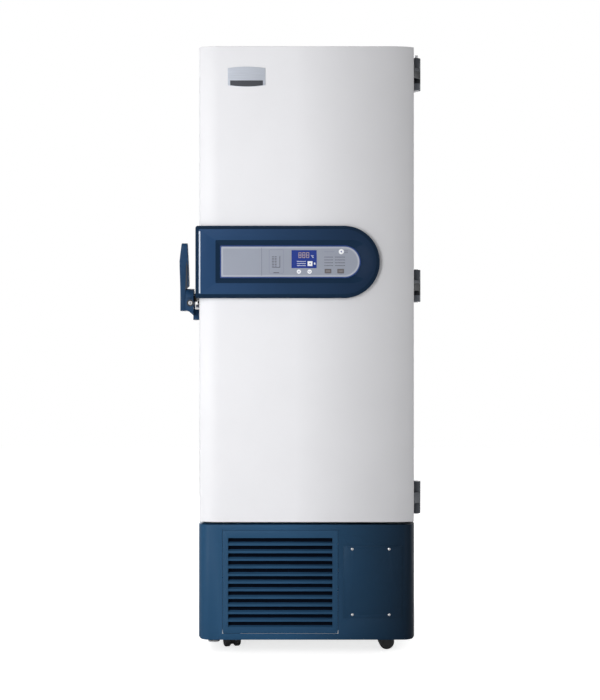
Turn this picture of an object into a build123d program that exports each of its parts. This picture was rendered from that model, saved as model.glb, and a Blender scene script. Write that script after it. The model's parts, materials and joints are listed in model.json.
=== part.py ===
from build123d import *
from math import cos, radians, sin, sqrt
import os

os.makedirs("parts", exist_ok=True)

# An upright ultra low temperature freezer, in millimetres.
# x runs to the right, y to the back and z up, with the floor at z = 0.
# The pieces are built about the middle of the cabinet and moved to the overall middle at the end.

# Cabinet
cabinet_width = 700.0
cabinet_depth = 735.0
overall_height = 1980.0
base_top = 425.0
side_wall = 115.0
rear_wall = 115.0
ceiling_wall = 118.0
floor_wall = 127.0
sheet = 1.5
case_corner = 6.0
flange_width = 55.0
breaker_thickness = 15.0
liner_sheet = 1.5
panel_joint = 0.5
seat = 0.3
shaft_play = 0.05

# Outer door, whose front is flat in the middle and curves back towards both sides
door_gap = 6.0
door_thickness = 95.0
door_base_gap = 8.5
door_curve = (70.0, 12.0)
door_edge = 6.0
door_liner_sheet = 2.0
plug_depth = 46.5
plug_side_gap = 6.0
plug_corner = 12.0
plug_round = 8.0
gasket_width = 24.0
gasket_inset = 20.0
gasket_lip = 1.5
wiring_hole_radius = 12.0

# Hinges of the outer door: the lowest and the highest by their gaps, one midway
hinge_axis_offset = 17.0
hinge_low_gap = 68.5
hinge_high_gap = 68.0
hinge_length = 106.0
hinge_barrel_radius = 14.0
hinge_pin_radius = 5.0
hinge_pin_head = (9.0, 2.0)
hinge_cap = (6.0, 11.0)
hinge_plate = 4.5
hinge_cheek = (10.5, 9.1, 7.0)
hinge_web_reach = 16.0
hinge_leaf_reach = 52.0
door_leaf_reach = 45.0
knuckle_gap = 0.5

# Storage room
shelf_count = 3
shelf_lip = 20.0
shelf_sheet = 1.5
pilaster_depth = 10.0
pilaster_width = 20.0
pilaster_inset = 80.0
pilaster_end_gap = 12.0
clip_reach = 10.0
clip_height = 4.0
room_side_play = 1.0
frame_depth = 16.7
frame_band = 20.0
inner_gasket = 3.0
inner_gasket_width = 12.0
inner_door_thickness = 35.0
inner_door_front_gap = 4.0
inner_door_side_gap = 7.0
inner_door_end_gap = 6.0
inner_door_corner = 8.0
inner_door_panel_inset = 28.0
inner_door_panel_step = 2.5
inner_grip = (14.0, 160.0, 6.0)
inner_grip_round = 6.5
inner_grip_inset = 22.0
inner_pin_radius = 3.0
inner_pin_inset = 8.0
inner_pin_length = 12.0
inner_arm_thickness = 3.0
inner_arm_gap = 1.0

# Cooling coil on the liner, and the port through the rear wall between its two highest runs
coil_depth = 7.0
coil_height = 10.0
coil_pitch = 140.0
coil_end_gaps = (65.0, 120.0)
coil_front_gap = 30.0
port_radius = 12.5
port_wall = 3.5
port_collar = (22.0, 2.5)
port_x = 120.0

# Console on the outer door, from the door's left side and the lever's pivot
console_overhang = 10.0
console_right_gap = 230.0
console_height = 234.0
console_above_pivot = 113.0
console_depth = 25.0
console_bevel = 12.0
console_wrap_back = 43.5
console_left_round = 8.0
recess_left_gap = 66.0
recess_right_shift = 24.5
recess_height = 139.0
recess_depth = 8.0
recess_corner = 3.0
panel_left_gap = 82.0
panel_right_shift = 2.0
panel_height = 102.0
panel_thickness = 2.0
panel_ledge = 7.0

# Window, board and buttons: places from the middle of the panel's round end
window_size = (81.2, 58.0)
window_shift = (-130.2, 8.4)
window_proud = 0.6
board_size = (240.0, 1.6)
board_shift = -122.0
board_gap = 10.5
button_proud = 1.5
button_chamfer = 0.5
button_play = 0.4
button_travel = 1.0
button_collar = (1.5, 1.2)
set_shift = (-111.1, -6.1)
set_side = 15.5
up_shift = (-147.0, -31.8)
down_shift = (-112.4, -31.8)
arrow_radius = 7.0
mute_shift = (-10.0, 32.6)
mute_radius = 8.4
key_size = (21.5, 14.4)
key_shifts = {"left": (-53.0, -30.2), "right": (-12.1, -30.2)}

# Handle, latch and lock: reaches are outwards from the left side of the door,
# depths are backwards from its front, and rises and drops are from the lever's pivot
handle_height = 1165.0
pivot_depth = 43.5
pivot_radius = 7.0
bracket_reaches = (44.0, 19.0)
bracket_depths = (6.5, 83.5)
bracket_head = 29.0
bracket_shoulder = 5.0
bracket_drop = 44.0
bracket_toe = (8.3, 58.5)
foot_reach = 22.0
foot_drops = (73.0, 38.0)
foot_depth = 41.5
foot_groove = 3.0
lever_reaches = (63.0, 35.0)
lever_neck_reach = 45.0
lever_neck_rise = 39.0
lever_rise = 176.0
lever_drop = 44.0
lever_lean = 27.0
lever_width = 36.0
lever_tip_width = 25.0
lever_swells = (3.0, 1.0)
lever_taper = 60.0
lever_taper_cuts = (6.5, 3.0)
lever_bore_depth = 12.0
hook_reaches = (17.5, 11.5)
hook_hub_radius = 14.0
hook_clearances = (5.0, 4.5)
hook_nose_length = 10.5
hook_nose_drops = (16.0, 14.0)
hook_notch_top = 2.0
hook_arm_tops = (14.0, 7.0)
striker_depth = 27.5
striker_drop = 25.0
striker_radius = 8.0
striker_reach = 21.0
striker_plate = (3.0, 50.0, 72.0)
lock_reach = 28.5
lock_drop = 19.0
lock_radius = 9.0
lock_length = 24.0
lock_proud = 1.5
key_slot = (2.4, 10.0, 8.0)

# Base
base_overhang = 3.0
base_corner = 40.0
base_bottom = 52.0
base_flange = 15.0
base_foot_round = 12.0
ledge_overlap = 7.0
tray_bottom = 80.0
tray_thickness = 3.0
tray_side_gap = 23.0
tray_front_gap = 12.5
tray_corner = 45.0
post_side = 40.0
post_thickness = 3.0
rail_height = 40.0
grille_side_gap = 79.6
grille_end_gaps = (20.0, 17.0)
grille_seam = 0.8
grille_proud = 0.7
grille_thickness = 2.7
grille_rim = 8.0
grille_corner = 3.0
slot_side_gaps = (18.4, 18.6)
slot_end_gaps = (21.2, 20.0)
slot_height = 17.5
slot_pitch = 24.7
blade_depth = 13.0
blade_rise = 8.0
blade_thickness = 2.0
blade_root = 3.0
access_side_gap = 43.2
access_width = 190.0
access_grille_gap = 17.2
access_end_gaps = (71.7, 68.8)
access_thickness = 1.5
access_frame = 12.0
screw_side_gaps = (28.6, 41.8)
screw_end_gaps = (10.1, 9.7)
screw_head = (5.0, 2.0)
screw_head_taper = 20.0
screw_shank = (2.0, 8.0)
screw_play = 0.2

# Machine compartment
filter_gap = 2.0
filter_thickness = 8.0
filter_pleats = 16
condenser_side_gaps = (11.4, 10.6)
condenser_top_gap = 21.0
condenser_depth = 44.0
header_radius = 11.0
flat_tube = 3.0
flat_tube_pitch = 20.0
shroud_thickness = 3.0
fan_margin = 36.5
fan_tip_gap = 5.0
fan_ring_depth = 36.0
fan_ring_wall = 3.0
fan_hub = (32.0, 26.0)
fan_blade_count = 5
fan_blade_root = 25.6
fan_blade_chords = (34.0, 62.0)
fan_blade_pitches = (40.0, 18.0)
fan_blade_thickness = 2.5
fan_shaft_radius = 4.0
motor_radius = 38.0
motor_length = 52.0
motor_round = 8.0
motor_gap = 8.0
motor_arm = 12.0
compressor_spacing = 290.0
compressors_middle = -20.0
compressor_rear_gap = 217.5
compressor_radius = 92.0
compressor_height = 232.0
compressor_seam = 5.0
compressor_dome = 42.0
compressor_dome_steps = ((8.0, 20.0), (34.0, 37.0), (74.0, 42.0))
compressor_heel = 24.0
compressor_foot = (200.0, 3.0)
seam_share = 0.55
grommet = (11.0, 12.0)
pipe_radius = 5.0
pipe_bend = 15.0
pipe_height = 185.6
drier_radius = 14.0
drier_length = 45.0
box_side_gaps = (15.2, 21.8)
box_depth = 110.0
box_top_gap = 55.0
box_front_gap = 14.0
box_round = 7.5
box_lid = (7.5, 5.0)
gland_side_gap = 83.0
gland_top_gap = 40.0
gland_bore = 6.5
gland_length = 34.0
gland_hex = (13.0, 7.0)
gland_thread = 9.0
gland_outside = 14.0
rear_slot_height = 6.0
rear_slot_pitch = 18.0
rear_slot_side_gaps = (88.0, 128.0)
rear_slot_middle_gap = 30.0
rear_slot_end_gaps = (48.0, 85.0)

# Casters and levelling feet
caster_side_gap = 108.0
caster_end_gaps = (98.5, 82.5)
caster_headings = {"front_left": 104.0, "front_right": 4.0, "rear_left": 110.0, "rear_right": 75.0}
wheel_radius = 25.0
wheel_width = 21.0
wheel_spacing = 12.0
wheel_chamfer = 4.0
wheel_dish = (17.0, 8.0, 2.0)
axle_radius = 4.0
caster_trail = 20.0
caster_web = 10.0
caster_web_round = 18.0
caster_disc = (26.0, 12.0)
caster_plate = (70.0, 60.0, 3.0)
kingpin_radius = 6.0
levelling_side_gap = 48.0
levelling_front_gap = 53.5
levelling_radius = 19.0
levelling_drops = {"left": 17.0, "right": 6.0}
levelling_pad = 8.0
levelling_pad_chamfer = 4.0
stud_radius = 6.0
stud_rise = 29.0
stud_nut = (12.0, 12.0)

# Places worked out from the sizes above
half_width = cabinet_width / 2
front_y = -cabinet_depth / 2
rear_y = cabinet_depth / 2
case_height = overall_height - base_top
case_middle = (overall_height + base_top) / 2
room_half = half_width - side_wall
room_floor = base_top + floor_wall
room_ceiling = overall_height - ceiling_wall
room_middle = (room_floor + room_ceiling) / 2
room_back_y = rear_y - rear_wall
breaker_back_y = front_y + breaker_thickness
liner_half = room_half + liner_sheet
liner_back_y = room_back_y + liner_sheet
coil_top = room_ceiling - coil_end_gaps[1]
port_place = (port_x, coil_top - coil_pitch / 2)
door_back_y = front_y - door_gap
door_front_y = door_back_y - door_thickness
door_bottom = base_top + door_base_gap
door_height = overall_height - door_bottom
door_middle = (overall_height + door_bottom) / 2
door_curve_x = half_width - door_curve[0]
door_curve_radius = (door_curve[0] ** 2 + door_curve[1] ** 2) / (2 * door_curve[1])
door_curve_y = door_front_y + door_curve_radius
plug_back_y = door_back_y + plug_depth
plug_half = room_half - plug_side_gap
plug_height = room_ceiling - room_floor - 2 * plug_side_gap
hinge_x = half_width + hinge_axis_offset
hinge_y = front_y
hinge_low = door_bottom + hinge_low_gap
hinge_high = overall_height - hinge_high_gap
hinge_middles = (hinge_low, (hinge_low + hinge_high) / 2, hinge_high)
inner_front_y = plug_back_y + inner_door_front_gap + inner_grip[2]
inner_back_y = inner_front_y + inner_door_thickness
frame_front_y = inner_back_y + seat + inner_gasket
frame_back_y = frame_front_y + frame_depth
inner_half = room_half - inner_door_side_gap
inner_pin_x = inner_half - inner_pin_inset
inner_pin_y = inner_front_y + inner_pin_inset
mullion_gap = inner_arm_thickness / 2 + inner_arm_gap
pivot_y = door_front_y + pivot_depth
pivot_z = handle_height
bracket_outer, bracket_inner = (-half_width - reach for reach in bracket_reaches)
bracket_front_y, bracket_back_y = (door_front_y + depth for depth in bracket_depths)
bracket_bottom = pivot_z - bracket_drop
foot_outer = -half_width - foot_reach
foot_bottom, foot_top = (pivot_z - drop for drop in foot_drops)
lever_outer, lever_inner = (-half_width - reach for reach in lever_reaches)
lever_neck_inner = -half_width - lever_neck_reach
lever_top = pivot_z + lever_rise
lever_bottom = pivot_z - lever_drop
hook_outer, hook_inner = (-half_width - reach for reach in hook_reaches)
striker_place = (front_y + striker_depth, pivot_z - striker_drop)
lock_place = (-half_width - lock_reach, pivot_z - lock_drop)
console_left = -half_width - console_overhang
console_right_centre = half_width - console_right_gap
console_middle = pivot_z + console_above_pivot
console_front_y = door_front_y - console_depth
recess_left = console_left + recess_left_gap
recess_right_centre = console_right_centre + recess_right_shift
recess_floor_y = console_front_y + recess_depth
panel_left = console_left + panel_left_gap
panel_right_centre = console_right_centre + panel_right_shift
panel_front_y = recess_floor_y - panel_thickness
board_front_y = recess_floor_y + board_gap
board_middle = panel_right_centre + board_shift
base_half = half_width + base_overhang
base_front_y = door_front_y
base_middle = (base_top + base_bottom) / 2
base_skin_back_y = base_front_y + sheet
side_front_y = base_front_y + base_corner
tray_half = base_half - tray_side_gap
tray_top = tray_bottom + tray_thickness
tray_front_y = base_front_y + tray_front_gap
access_right = base_half - access_side_gap
access_left = access_right - access_width
access_bottom = base_bottom + access_end_gaps[0]
access_top = base_top - access_end_gaps[1]
screw_xs = (access_left + screw_side_gaps[0], access_right - screw_side_gaps[1])
screw_zs = (access_bottom + screw_end_gaps[0], access_top - screw_end_gaps[1])
screw_places = [(x, z) for x in screw_xs for z in screw_zs]
grille_left = grille_side_gap - base_half
grille_right = access_left - access_grille_gap
grille_bottom = base_bottom + grille_end_gaps[0]
grille_top = base_top - grille_end_gaps[1]
grille_front_y = base_front_y - grille_proud
slot_left = grille_left + slot_side_gaps[0]
slot_right = grille_right - slot_side_gaps[1]
slot_lowest = grille_bottom + slot_end_gaps[0]
slot_room = grille_top - slot_end_gaps[1] - slot_lowest
slot_count = int((slot_room + slot_pitch - slot_height) // slot_pitch)
filter_front_y = grille_front_y + grille_thickness + blade_depth + filter_gap
filter_back_y = filter_front_y + filter_thickness
condenser_left = grille_left + condenser_side_gaps[0]
condenser_right = grille_right - condenser_side_gaps[1]
condenser_top = base_top - condenser_top_gap
condenser_front_y = filter_back_y + seat
condenser_back_y = condenser_front_y + condenser_depth
condenser_middle_y = (condenser_front_y + condenser_back_y) / 2
shroud_back_y = condenser_back_y + seat + shroud_thickness
fan_place = ((condenser_left + condenser_right) / 2, (tray_top + condenser_top) / 2)
fan_radius = min(condenser_right - condenser_left, condenser_top - tray_top) / 2 - fan_margin
compressor_xs = [compressors_middle + side * compressor_spacing / 2 for side in (-1, 1)]
compressor_y = rear_y - compressor_rear_gap
box_left = access_left + box_side_gaps[0]
box_right = access_right - box_side_gaps[1]
box_top = base_top - box_top_gap
gland_place = (base_half - gland_side_gap, base_top - gland_top_gap)
gland_end_y = rear_y + gland_outside
caster_x = base_half - caster_side_gap
caster_ys = {"front": base_front_y + caster_end_gaps[0], "rear": rear_y - caster_end_gaps[1]}
levelling_x = base_half - levelling_side_gap
levelling_y = base_front_y + levelling_front_gap

# Every piece moves by this to stand on the middle of its overall box
to_origin = Location((
    -(lever_outer + hinge_x + hinge_barrel_radius) / 2,
    -(console_front_y + gland_end_y) / 2,
    0,
))


def block(low, high, mode=Mode.ADD):
    """Add a rectangular block between two corners, given in any order."""
    size = [abs(b - a) for a, b in zip(low, high)]
    middle = tuple((a + b) / 2 for a, b in zip(low, high))
    with Locations(middle):
        Box(*size, mode=mode)


def patch(low, high, mode=Mode.ADD):
    """Add a rectangle between two corners to the sketch in hand."""
    with Locations(((low[0] + high[0]) / 2, (low[1] + high[1]) / 2)):
        Rectangle(abs(high[0] - low[0]), abs(high[1] - low[1]), mode=mode)


def at_y(y):
    """The upright plane that faces the front, x to the right and z up, at depth y."""
    return Plane.XZ.offset(-y)


def finish(name, piece):
    """Move a finished piece to the overall origin, name it and write it."""
    piece.part.locate(to_origin)
    piece.part.label = name
    export_step(piece.part, f"parts/{name}.step")


def lining(low, high):
    """Sketch the part of the case's inside that lies between two corners (x, z)."""
    with Locations((0, case_middle)):
        RectangleRounded(cabinet_width - 2 * sheet, case_height - 2 * sheet, case_corner - sheet)
    patch(low, high, Mode.INTERSECT)
def door_outline(inset):
    """Sketch the door seen from above: a flat front that curves back to eased edges."""
    side = half_width - inset
    front = door_front_y + inset
    curve = door_curve_radius - inset
    edge = door_edge - inset
    edge_x = side - edge
    edge_y = door_curve_y - sqrt((curve - edge) ** 2 - (edge_x - door_curve_x) ** 2)
    share = curve / (curve - edge)
    meet_x = door_curve_x + (edge_x - door_curve_x) * share
    meet_y = door_curve_y + (edge_y - door_curve_y) * share
    with BuildLine() as outline:
        Polyline((-side, edge_y), (-side, door_back_y), (side, door_back_y), (side, edge_y))
        RadiusArc((side, edge_y), (meet_x, meet_y), edge)
        RadiusArc((meet_x, meet_y), (door_curve_x, front), curve)
        Line((door_curve_x, front), (-door_curve_x, front))
        RadiusArc((-door_curve_x, front), (-meet_x, meet_y), curve)
        RadiusArc((-meet_x, meet_y), (-side, edge_y), edge)
    make_face(outline.edges())


# Outer case: a wrapper of painted sheet with a flange turned in round the opening
inside_width = cabinet_width - 2 * sheet
inside_height = case_height - 2 * sheet
with BuildPart() as outer_case:
    with BuildSketch(at_y(front_y)):
        with Locations((0, case_middle)):
            RectangleRounded(cabinet_width, case_height, case_corner)
            RectangleRounded(inside_width, inside_height, case_corner - sheet, mode=Mode.SUBTRACT)
    extrude(amount=-(cabinet_depth - sheet))
    with BuildSketch(at_y(front_y)):
        with Locations((0, case_middle)):
            RectangleRounded(cabinet_width, case_height, case_corner)
            Rectangle(cabinet_width - 2 * flange_width, case_height - 2 * flange_width, mode=Mode.SUBTRACT)
    extrude(amount=-sheet)
finish("outer_case", outer_case)

# Rear panel with the hole of the access port
sleeve_radius = port_radius + port_wall
with BuildPart() as rear_panel:
    with BuildSketch(at_y(rear_y)):
        with Locations((0, case_middle)):
            RectangleRounded(cabinet_width, case_height, case_corner)
        with Locations(port_place):
            Circle(sleeve_radius + seat, mode=Mode.SUBTRACT)
    extrude(amount=sheet)
finish("rear_panel", rear_panel)

def coil_runs(clearance, mode=Mode.ADD):
    """Wind the flat tube round the liner in level runs, joined at alternate front ends."""
    inner = liner_half + seat - clearance
    outer = liner_half + seat + coil_depth + clearance
    back_inner = liner_back_y + seat - clearance
    back_outer = liner_back_y + seat + coil_depth + clearance
    front = breaker_back_y + coil_front_gap - clearance
    half_height = coil_height / 2 + clearance
    level = coil_top
    side = 1
    while level >= room_floor + coil_end_gaps[0]:
        with BuildSketch(Plane.XY.offset(level - half_height)) as run:
            patch((-outer, front), (outer, back_outer))
            patch((-inner, front), (inner, back_inner), Mode.SUBTRACT)
        extrude(run.sketch, amount=2 * half_height, mode=mode)
        next_level = level - coil_pitch
        if next_level >= room_floor + coil_end_gaps[0]:
            low = (side * inner, front, next_level - half_height)
            high = (side * outer, front + coil_height + 2 * clearance, level + half_height)
            block(low, high, mode)
        side = -side
        level = next_level

# Insulation: five slabs between the case and the liner, grooved for the coil
with BuildPart() as insulation_foam:
    for side in (-1, 1):
        with BuildSketch(at_y(breaker_back_y)):
            lining((side * liner_half, base_top), (side * half_width, overall_height))
        extrude(amount=-(rear_y - sheet - breaker_back_y))
    slab_half = liner_half - panel_joint
    for low, high in (
        (base_top + sheet, room_floor - liner_sheet),
        (room_ceiling + liner_sheet, overall_height - sheet),
    ):
        block((-slab_half, breaker_back_y, low), (slab_half, rear_y - sheet, high))
    back_low = room_floor - liner_sheet + panel_joint
    back_high = room_ceiling + liner_sheet - panel_joint
    block((-slab_half, liner_back_y, back_low), (slab_half, rear_y - sheet, back_high))
    coil_runs(seat, Mode.SUBTRACT)
    with BuildSketch(at_y(rear_y)):
        with Locations(port_place):
            Circle(sleeve_radius + seat)
    extrude(amount=rear_wall, mode=Mode.SUBTRACT)
finish("insulation_foam", insulation_foam)

with BuildPart() as evaporator_coil:
    coil_runs(0)
finish("evaporator_coil", evaporator_coil)

# Inner liner: a sheet box open to the front
with BuildPart() as inner_liner:
    liner_low = (-liner_half, breaker_back_y, room_floor - liner_sheet)
    block(liner_low, (liner_half, liner_back_y, room_ceiling + liner_sheet))
    block(
        (-room_half, breaker_back_y, room_floor),
        (room_half, room_back_y, room_ceiling),
        Mode.SUBTRACT,
    )
    with BuildSketch(at_y(rear_y)):
        with Locations(port_place):
            Circle(sleeve_radius + seat)
    extrude(amount=rear_wall + 2 * liner_sheet, mode=Mode.SUBTRACT)
finish("inner_liner", inner_liner)

# Breaker strips: four plastic strips between the liner and the case's flange
flange_half = half_width - flange_width - seat
with BuildPart() as breaker_strips:
    for side in (-1, 1):
        with BuildSketch(at_y(front_y + sheet)):
            lining((side * room_half, base_top), (side * half_width, overall_height))
        extrude(amount=-(breaker_thickness - sheet))
        low = (side * room_half, front_y, base_top + flange_width + seat)
        block(low, (side * flange_half, front_y + sheet, overall_height - flange_width - seat))
    strip_half = room_half - panel_joint
    for edge, outside, flange in (
        (room_floor, base_top + sheet, base_top + flange_width + seat),
        (room_ceiling, overall_height - sheet, overall_height - flange_width - seat),
    ):
        block((-strip_half, front_y + sheet, edge), (strip_half, breaker_back_y, outside))
        block((-strip_half, front_y, edge), (strip_half, front_y + sheet, flange))
finish("breaker_strips", breaker_strips)

# Access port sleeve through the rear wall, with a collar outside
with BuildPart() as access_port_sleeve:
    with BuildSketch(at_y(rear_y)):
        with Locations(port_place):
            Circle(sleeve_radius)
    extrude(amount=rear_wall)
    with BuildSketch(at_y(rear_y)):
        with Locations(port_place):
            Circle(port_collar[0])
    extrude(amount=-port_collar[1])
    with BuildSketch(at_y(rear_y + port_collar[1])):
        with Locations(port_place):
            Circle(port_radius)
    extrude(amount=rear_wall + port_collar[1], mode=Mode.SUBTRACT)
finish("access_port_sleeve", access_port_sleeve)

# Pilasters on the side walls, with a clip under each shelf
shelf_pitch = (room_ceiling - room_floor) / (shelf_count + 1)
shelf_tops = [room_floor + shelf_pitch * (n + 1) for n in range(shelf_count)]
pilaster_face = room_half - pilaster_depth
pilaster_ys = (frame_back_y + pilaster_inset, room_back_y - pilaster_inset)
with BuildPart() as shelf_pilasters:
    for side in (-1, 1):
        for y in pilaster_ys:
            half = pilaster_width / 2
            low = (side * pilaster_face, y - half, room_floor + pilaster_end_gap)
            block(low, (side * room_half, y + half, room_ceiling - pilaster_end_gap))
            for top in shelf_tops:
                rest = top - shelf_lip
                corner = (side * (pilaster_face - clip_reach), y - half, rest - clip_height)
                block(corner, (side * pilaster_face, y + half, rest))
finish("shelf_pilasters", shelf_pilasters)

# Shelves: sheet folded down all round, on the clips
shelf_half = pilaster_face - room_side_play
shelf_front_y = frame_back_y + room_side_play
shelf_back_y = room_back_y - room_side_play
with BuildPart() as shelves:
    for top in shelf_tops:
        with BuildSketch(Plane.XY.offset(top - shelf_lip)):
            patch((-shelf_half, shelf_front_y), (shelf_half, shelf_back_y))
        extrude(amount=shelf_lip)
        with BuildSketch(Plane.XY.offset(top - shelf_lip)):
            inside = shelf_half - shelf_sheet
            patch((-inside, shelf_front_y + shelf_sheet), (inside, shelf_back_y - shelf_sheet))
        extrude(amount=shelf_lip - shelf_sheet, mode=Mode.SUBTRACT)
finish("shelves", shelves)

# Ends of the two inner doors (low, high), and the arms that carry their pins
inner_door_ends = {
    "lower": (room_floor + inner_door_end_gap, room_middle - mullion_gap),
    "upper": (room_middle + mullion_gap, room_ceiling - inner_door_end_gap),
}
frame_windows = (
    (room_floor + frame_band, room_middle - frame_band / 2),
    (room_middle + frame_band / 2, room_ceiling - frame_band),
)
with BuildPart() as inner_frame:
    frame_half = room_half - seat
    window_half = room_half - frame_band
    with BuildSketch(at_y(frame_front_y)):
        patch((-frame_half, room_floor + seat), (frame_half, room_ceiling - seat))
        for low, high in frame_windows:
            patch((-window_half, low), (window_half, high), Mode.SUBTRACT)
    extrude(amount=-frame_depth)
    arm_front_y = inner_pin_y - inner_pin_inset + room_side_play
    for low, high in inner_door_ends.values():
        for end, out in ((low, -1), (high, 1)):
            near = end + out * inner_arm_gap
            block(
                (window_half, arm_front_y, near),
                (frame_half, frame_front_y, near + out * inner_arm_thickness),
            )
            with BuildSketch(Plane.XY.offset(near)):
                with Locations((inner_pin_x, inner_pin_y)):
                    Circle(inner_pin_radius)
            extrude(amount=-out * inner_pin_length)
finish("inner_frame", inner_frame)

# Gaskets of the inner doors, on the frame's face
with BuildPart() as inner_gaskets:
    gasket_half = inner_half - seat
    for low, high in inner_door_ends.values():
        with BuildSketch(at_y(frame_front_y - inner_gasket)):
            patch((-gasket_half, low + seat), (inner_pin_x - inner_pin_inset, high - seat))
            patch(
                (-gasket_half + inner_gasket_width, low + inner_gasket_width),
                (inner_pin_x - inner_pin_inset - inner_gasket_width, high - inner_gasket_width),
                Mode.SUBTRACT,
            )
        extrude(amount=-inner_gasket)
finish("inner_gaskets", inner_gaskets)

# Inner doors: moulded slabs with a stepped panel and a grip bar, bored for the pins
for name, (low, high) in inner_door_ends.items():
    with BuildPart() as inner_door:
        middle = (0, (low + high) / 2)
        with BuildSketch(at_y(inner_back_y)):
            with Locations(middle):
                RectangleRounded(2 * inner_half, high - low, inner_door_corner)
        extrude(amount=inner_door_thickness)
        with BuildSketch(at_y(inner_front_y)):
            with Locations(middle):
                RectangleRounded(
                    2 * (inner_half - inner_door_panel_inset),
                    high - low - 2 * inner_door_panel_inset,
                    inner_door_corner,
                )
        extrude(amount=-inner_door_panel_step, mode=Mode.SUBTRACT)
        with BuildSketch(at_y(inner_front_y)):
            with Locations((-inner_half + inner_grip_inset - inner_grip[0] / 2, (low + high) / 2)):
                RectangleRounded(inner_grip[0], inner_grip[1], inner_grip_round)
        extrude(amount=inner_grip[2])
        with BuildSketch(Plane.XY.offset(low)):
            with Locations((inner_pin_x, inner_pin_y)):
                Circle(inner_pin_radius + shaft_play)
        extrude(amount=inner_pin_length, mode=Mode.SUBTRACT)
        with BuildSketch(Plane.XY.offset(high)):
            with Locations((inner_pin_x, inner_pin_y)):
                Circle(inner_pin_radius + shaft_play)
        extrude(amount=-inner_pin_length, mode=Mode.SUBTRACT)
    finish(f"inner_door_{name}", inner_door)

# Door panel: a sheet pan with rounded front edges, open to the back
with BuildPart() as door_panel:
    with BuildSketch(Plane.XY.offset(door_bottom)):
        door_outline(0)
    extrude(amount=door_height)
    with BuildSketch(Plane.XY.offset(door_bottom + sheet)):
        door_outline(sheet)
    extrude(amount=door_height - 2 * sheet, mode=Mode.SUBTRACT)
    with BuildSketch(at_y(door_front_y)):
        with Locations((board_middle, console_middle)):
            Circle(wiring_hole_radius)
    extrude(amount=-sheet, mode=Mode.SUBTRACT)
finish("door_outer_panel", door_panel)

# Door foam: fills the pan and the plug of the door liner
plug_place = (0, room_middle)
with BuildPart() as door_foam:
    with BuildSketch(Plane.XY.offset(door_bottom + sheet)):
        door_outline(sheet)
        patch((-half_width, door_back_y - door_liner_sheet), (half_width, door_back_y), Mode.SUBTRACT)
    extrude(amount=door_height - 2 * sheet)
    core_round = plug_round - door_liner_sheet
    with BuildSketch(at_y(door_back_y - door_liner_sheet)):
        with Locations(plug_place):
            RectangleRounded(
                2 * (plug_half - door_liner_sheet),
                plug_height - 2 * door_liner_sheet,
                plug_corner - door_liner_sheet,
            )
    extrude(amount=-plug_depth)
    fillet(door_foam.faces().sort_by(Axis.Y)[-1].edges(), core_round)
finish("door_foam", door_foam)

# Door liner: a moulded sheet with the plug that fills the opening
with BuildPart() as door_liner:
    with BuildSketch(at_y(door_back_y)):
        with Locations(plug_place):
            RectangleRounded(2 * plug_half, plug_height, plug_corner)
    extrude(amount=-plug_depth)
    fillet(door_liner.faces().sort_by(Axis.Y)[-1].edges(), plug_round)
    liner_side = half_width - sheet
    block(
        (-liner_side, door_back_y - door_liner_sheet, door_bottom + sheet),
        (liner_side, door_back_y, overall_height - sheet),
    )
    with BuildPart(mode=Mode.PRIVATE) as core:
        with BuildSketch(at_y(door_back_y - door_liner_sheet)):
            with Locations(plug_place):
                RectangleRounded(
                    2 * (plug_half - door_liner_sheet),
                    plug_height - 2 * door_liner_sheet,
                    plug_corner - door_liner_sheet,
                )
        extrude(amount=-plug_depth)
        fillet(core.faces().sort_by(Axis.Y)[-1].edges(), core_round)
    add(core.part, mode=Mode.SUBTRACT)
finish("door_liner", door_liner)

# Magnetic gasket round the back of the door
with BuildPart() as door_gasket:
    with BuildSketch(at_y(door_back_y)):
        ring_width = cabinet_width - 2 * gasket_inset
        ring_height = door_height - 2 * gasket_inset
        with Locations((0, door_middle)):
            Rectangle(ring_width, ring_height)
            Rectangle(ring_width - 2 * gasket_width, ring_height - 2 * gasket_width, mode=Mode.SUBTRACT)
    extrude(amount=-(door_gap - seat))
    chamfer(door_gasket.faces().sort_by(Axis.Y)[-1].edges(), gasket_lip)
finish("door_gasket", door_gasket)


def hinge_profile(back):
    """Sketch one hinge leaf seen from above: barrel, web and plate, towards the back or the front."""
    plate_x = half_width + hinge_plate
    reach = hinge_leaf_reach if back > 0 else door_leaf_reach
    near = hinge_barrel_radius + hinge_plate
    cheek_x, outer_cheek_y, inner_cheek_y = hinge_cheek
    with BuildLine() as outline:
        Polyline(
            (half_width, hinge_y + back * near),
            (half_width, hinge_y + back * (near + reach)),
            (plate_x, hinge_y + back * (near + reach)),
            (plate_x, hinge_y + back * (near + hinge_web_reach)),
            (hinge_x + cheek_x, hinge_y + back * outer_cheek_y),
            (hinge_x, hinge_y),
            (hinge_x - cheek_x, hinge_y + back * inner_cheek_y),
            close=True,
        )
    make_face(outline.edges())
    with Locations((hinge_x, hinge_y)):
        Circle(hinge_barrel_radius)
        Circle(hinge_pin_radius + shaft_play, mode=Mode.SUBTRACT)


# Hinges: outer knuckles on the cabinet, the middle knuckle on the door
knuckle = hinge_length / 3
with BuildPart() as hinge_brackets:
    for middle in hinge_middles:
        for low in (middle - hinge_length / 2, middle + knuckle / 2 + knuckle_gap):
            with BuildSketch(Plane.XY.offset(low)):
                hinge_profile(1)
            extrude(amount=knuckle - knuckle_gap)
        back = hinge_y + hinge_barrel_radius + hinge_plate
        low = (half_width, back, middle - hinge_length / 2)
        block(low, (half_width + hinge_plate, back + hinge_leaf_reach, middle + hinge_length / 2))
finish("hinge_brackets", hinge_brackets)

with BuildPart() as door_hinge_leaves:
    for middle in hinge_middles:
        with BuildSketch(Plane.XY.offset(middle - knuckle / 2)):
            hinge_profile(-1)
        extrude(amount=knuckle)
finish("door_hinge_leaves", door_hinge_leaves)

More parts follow.
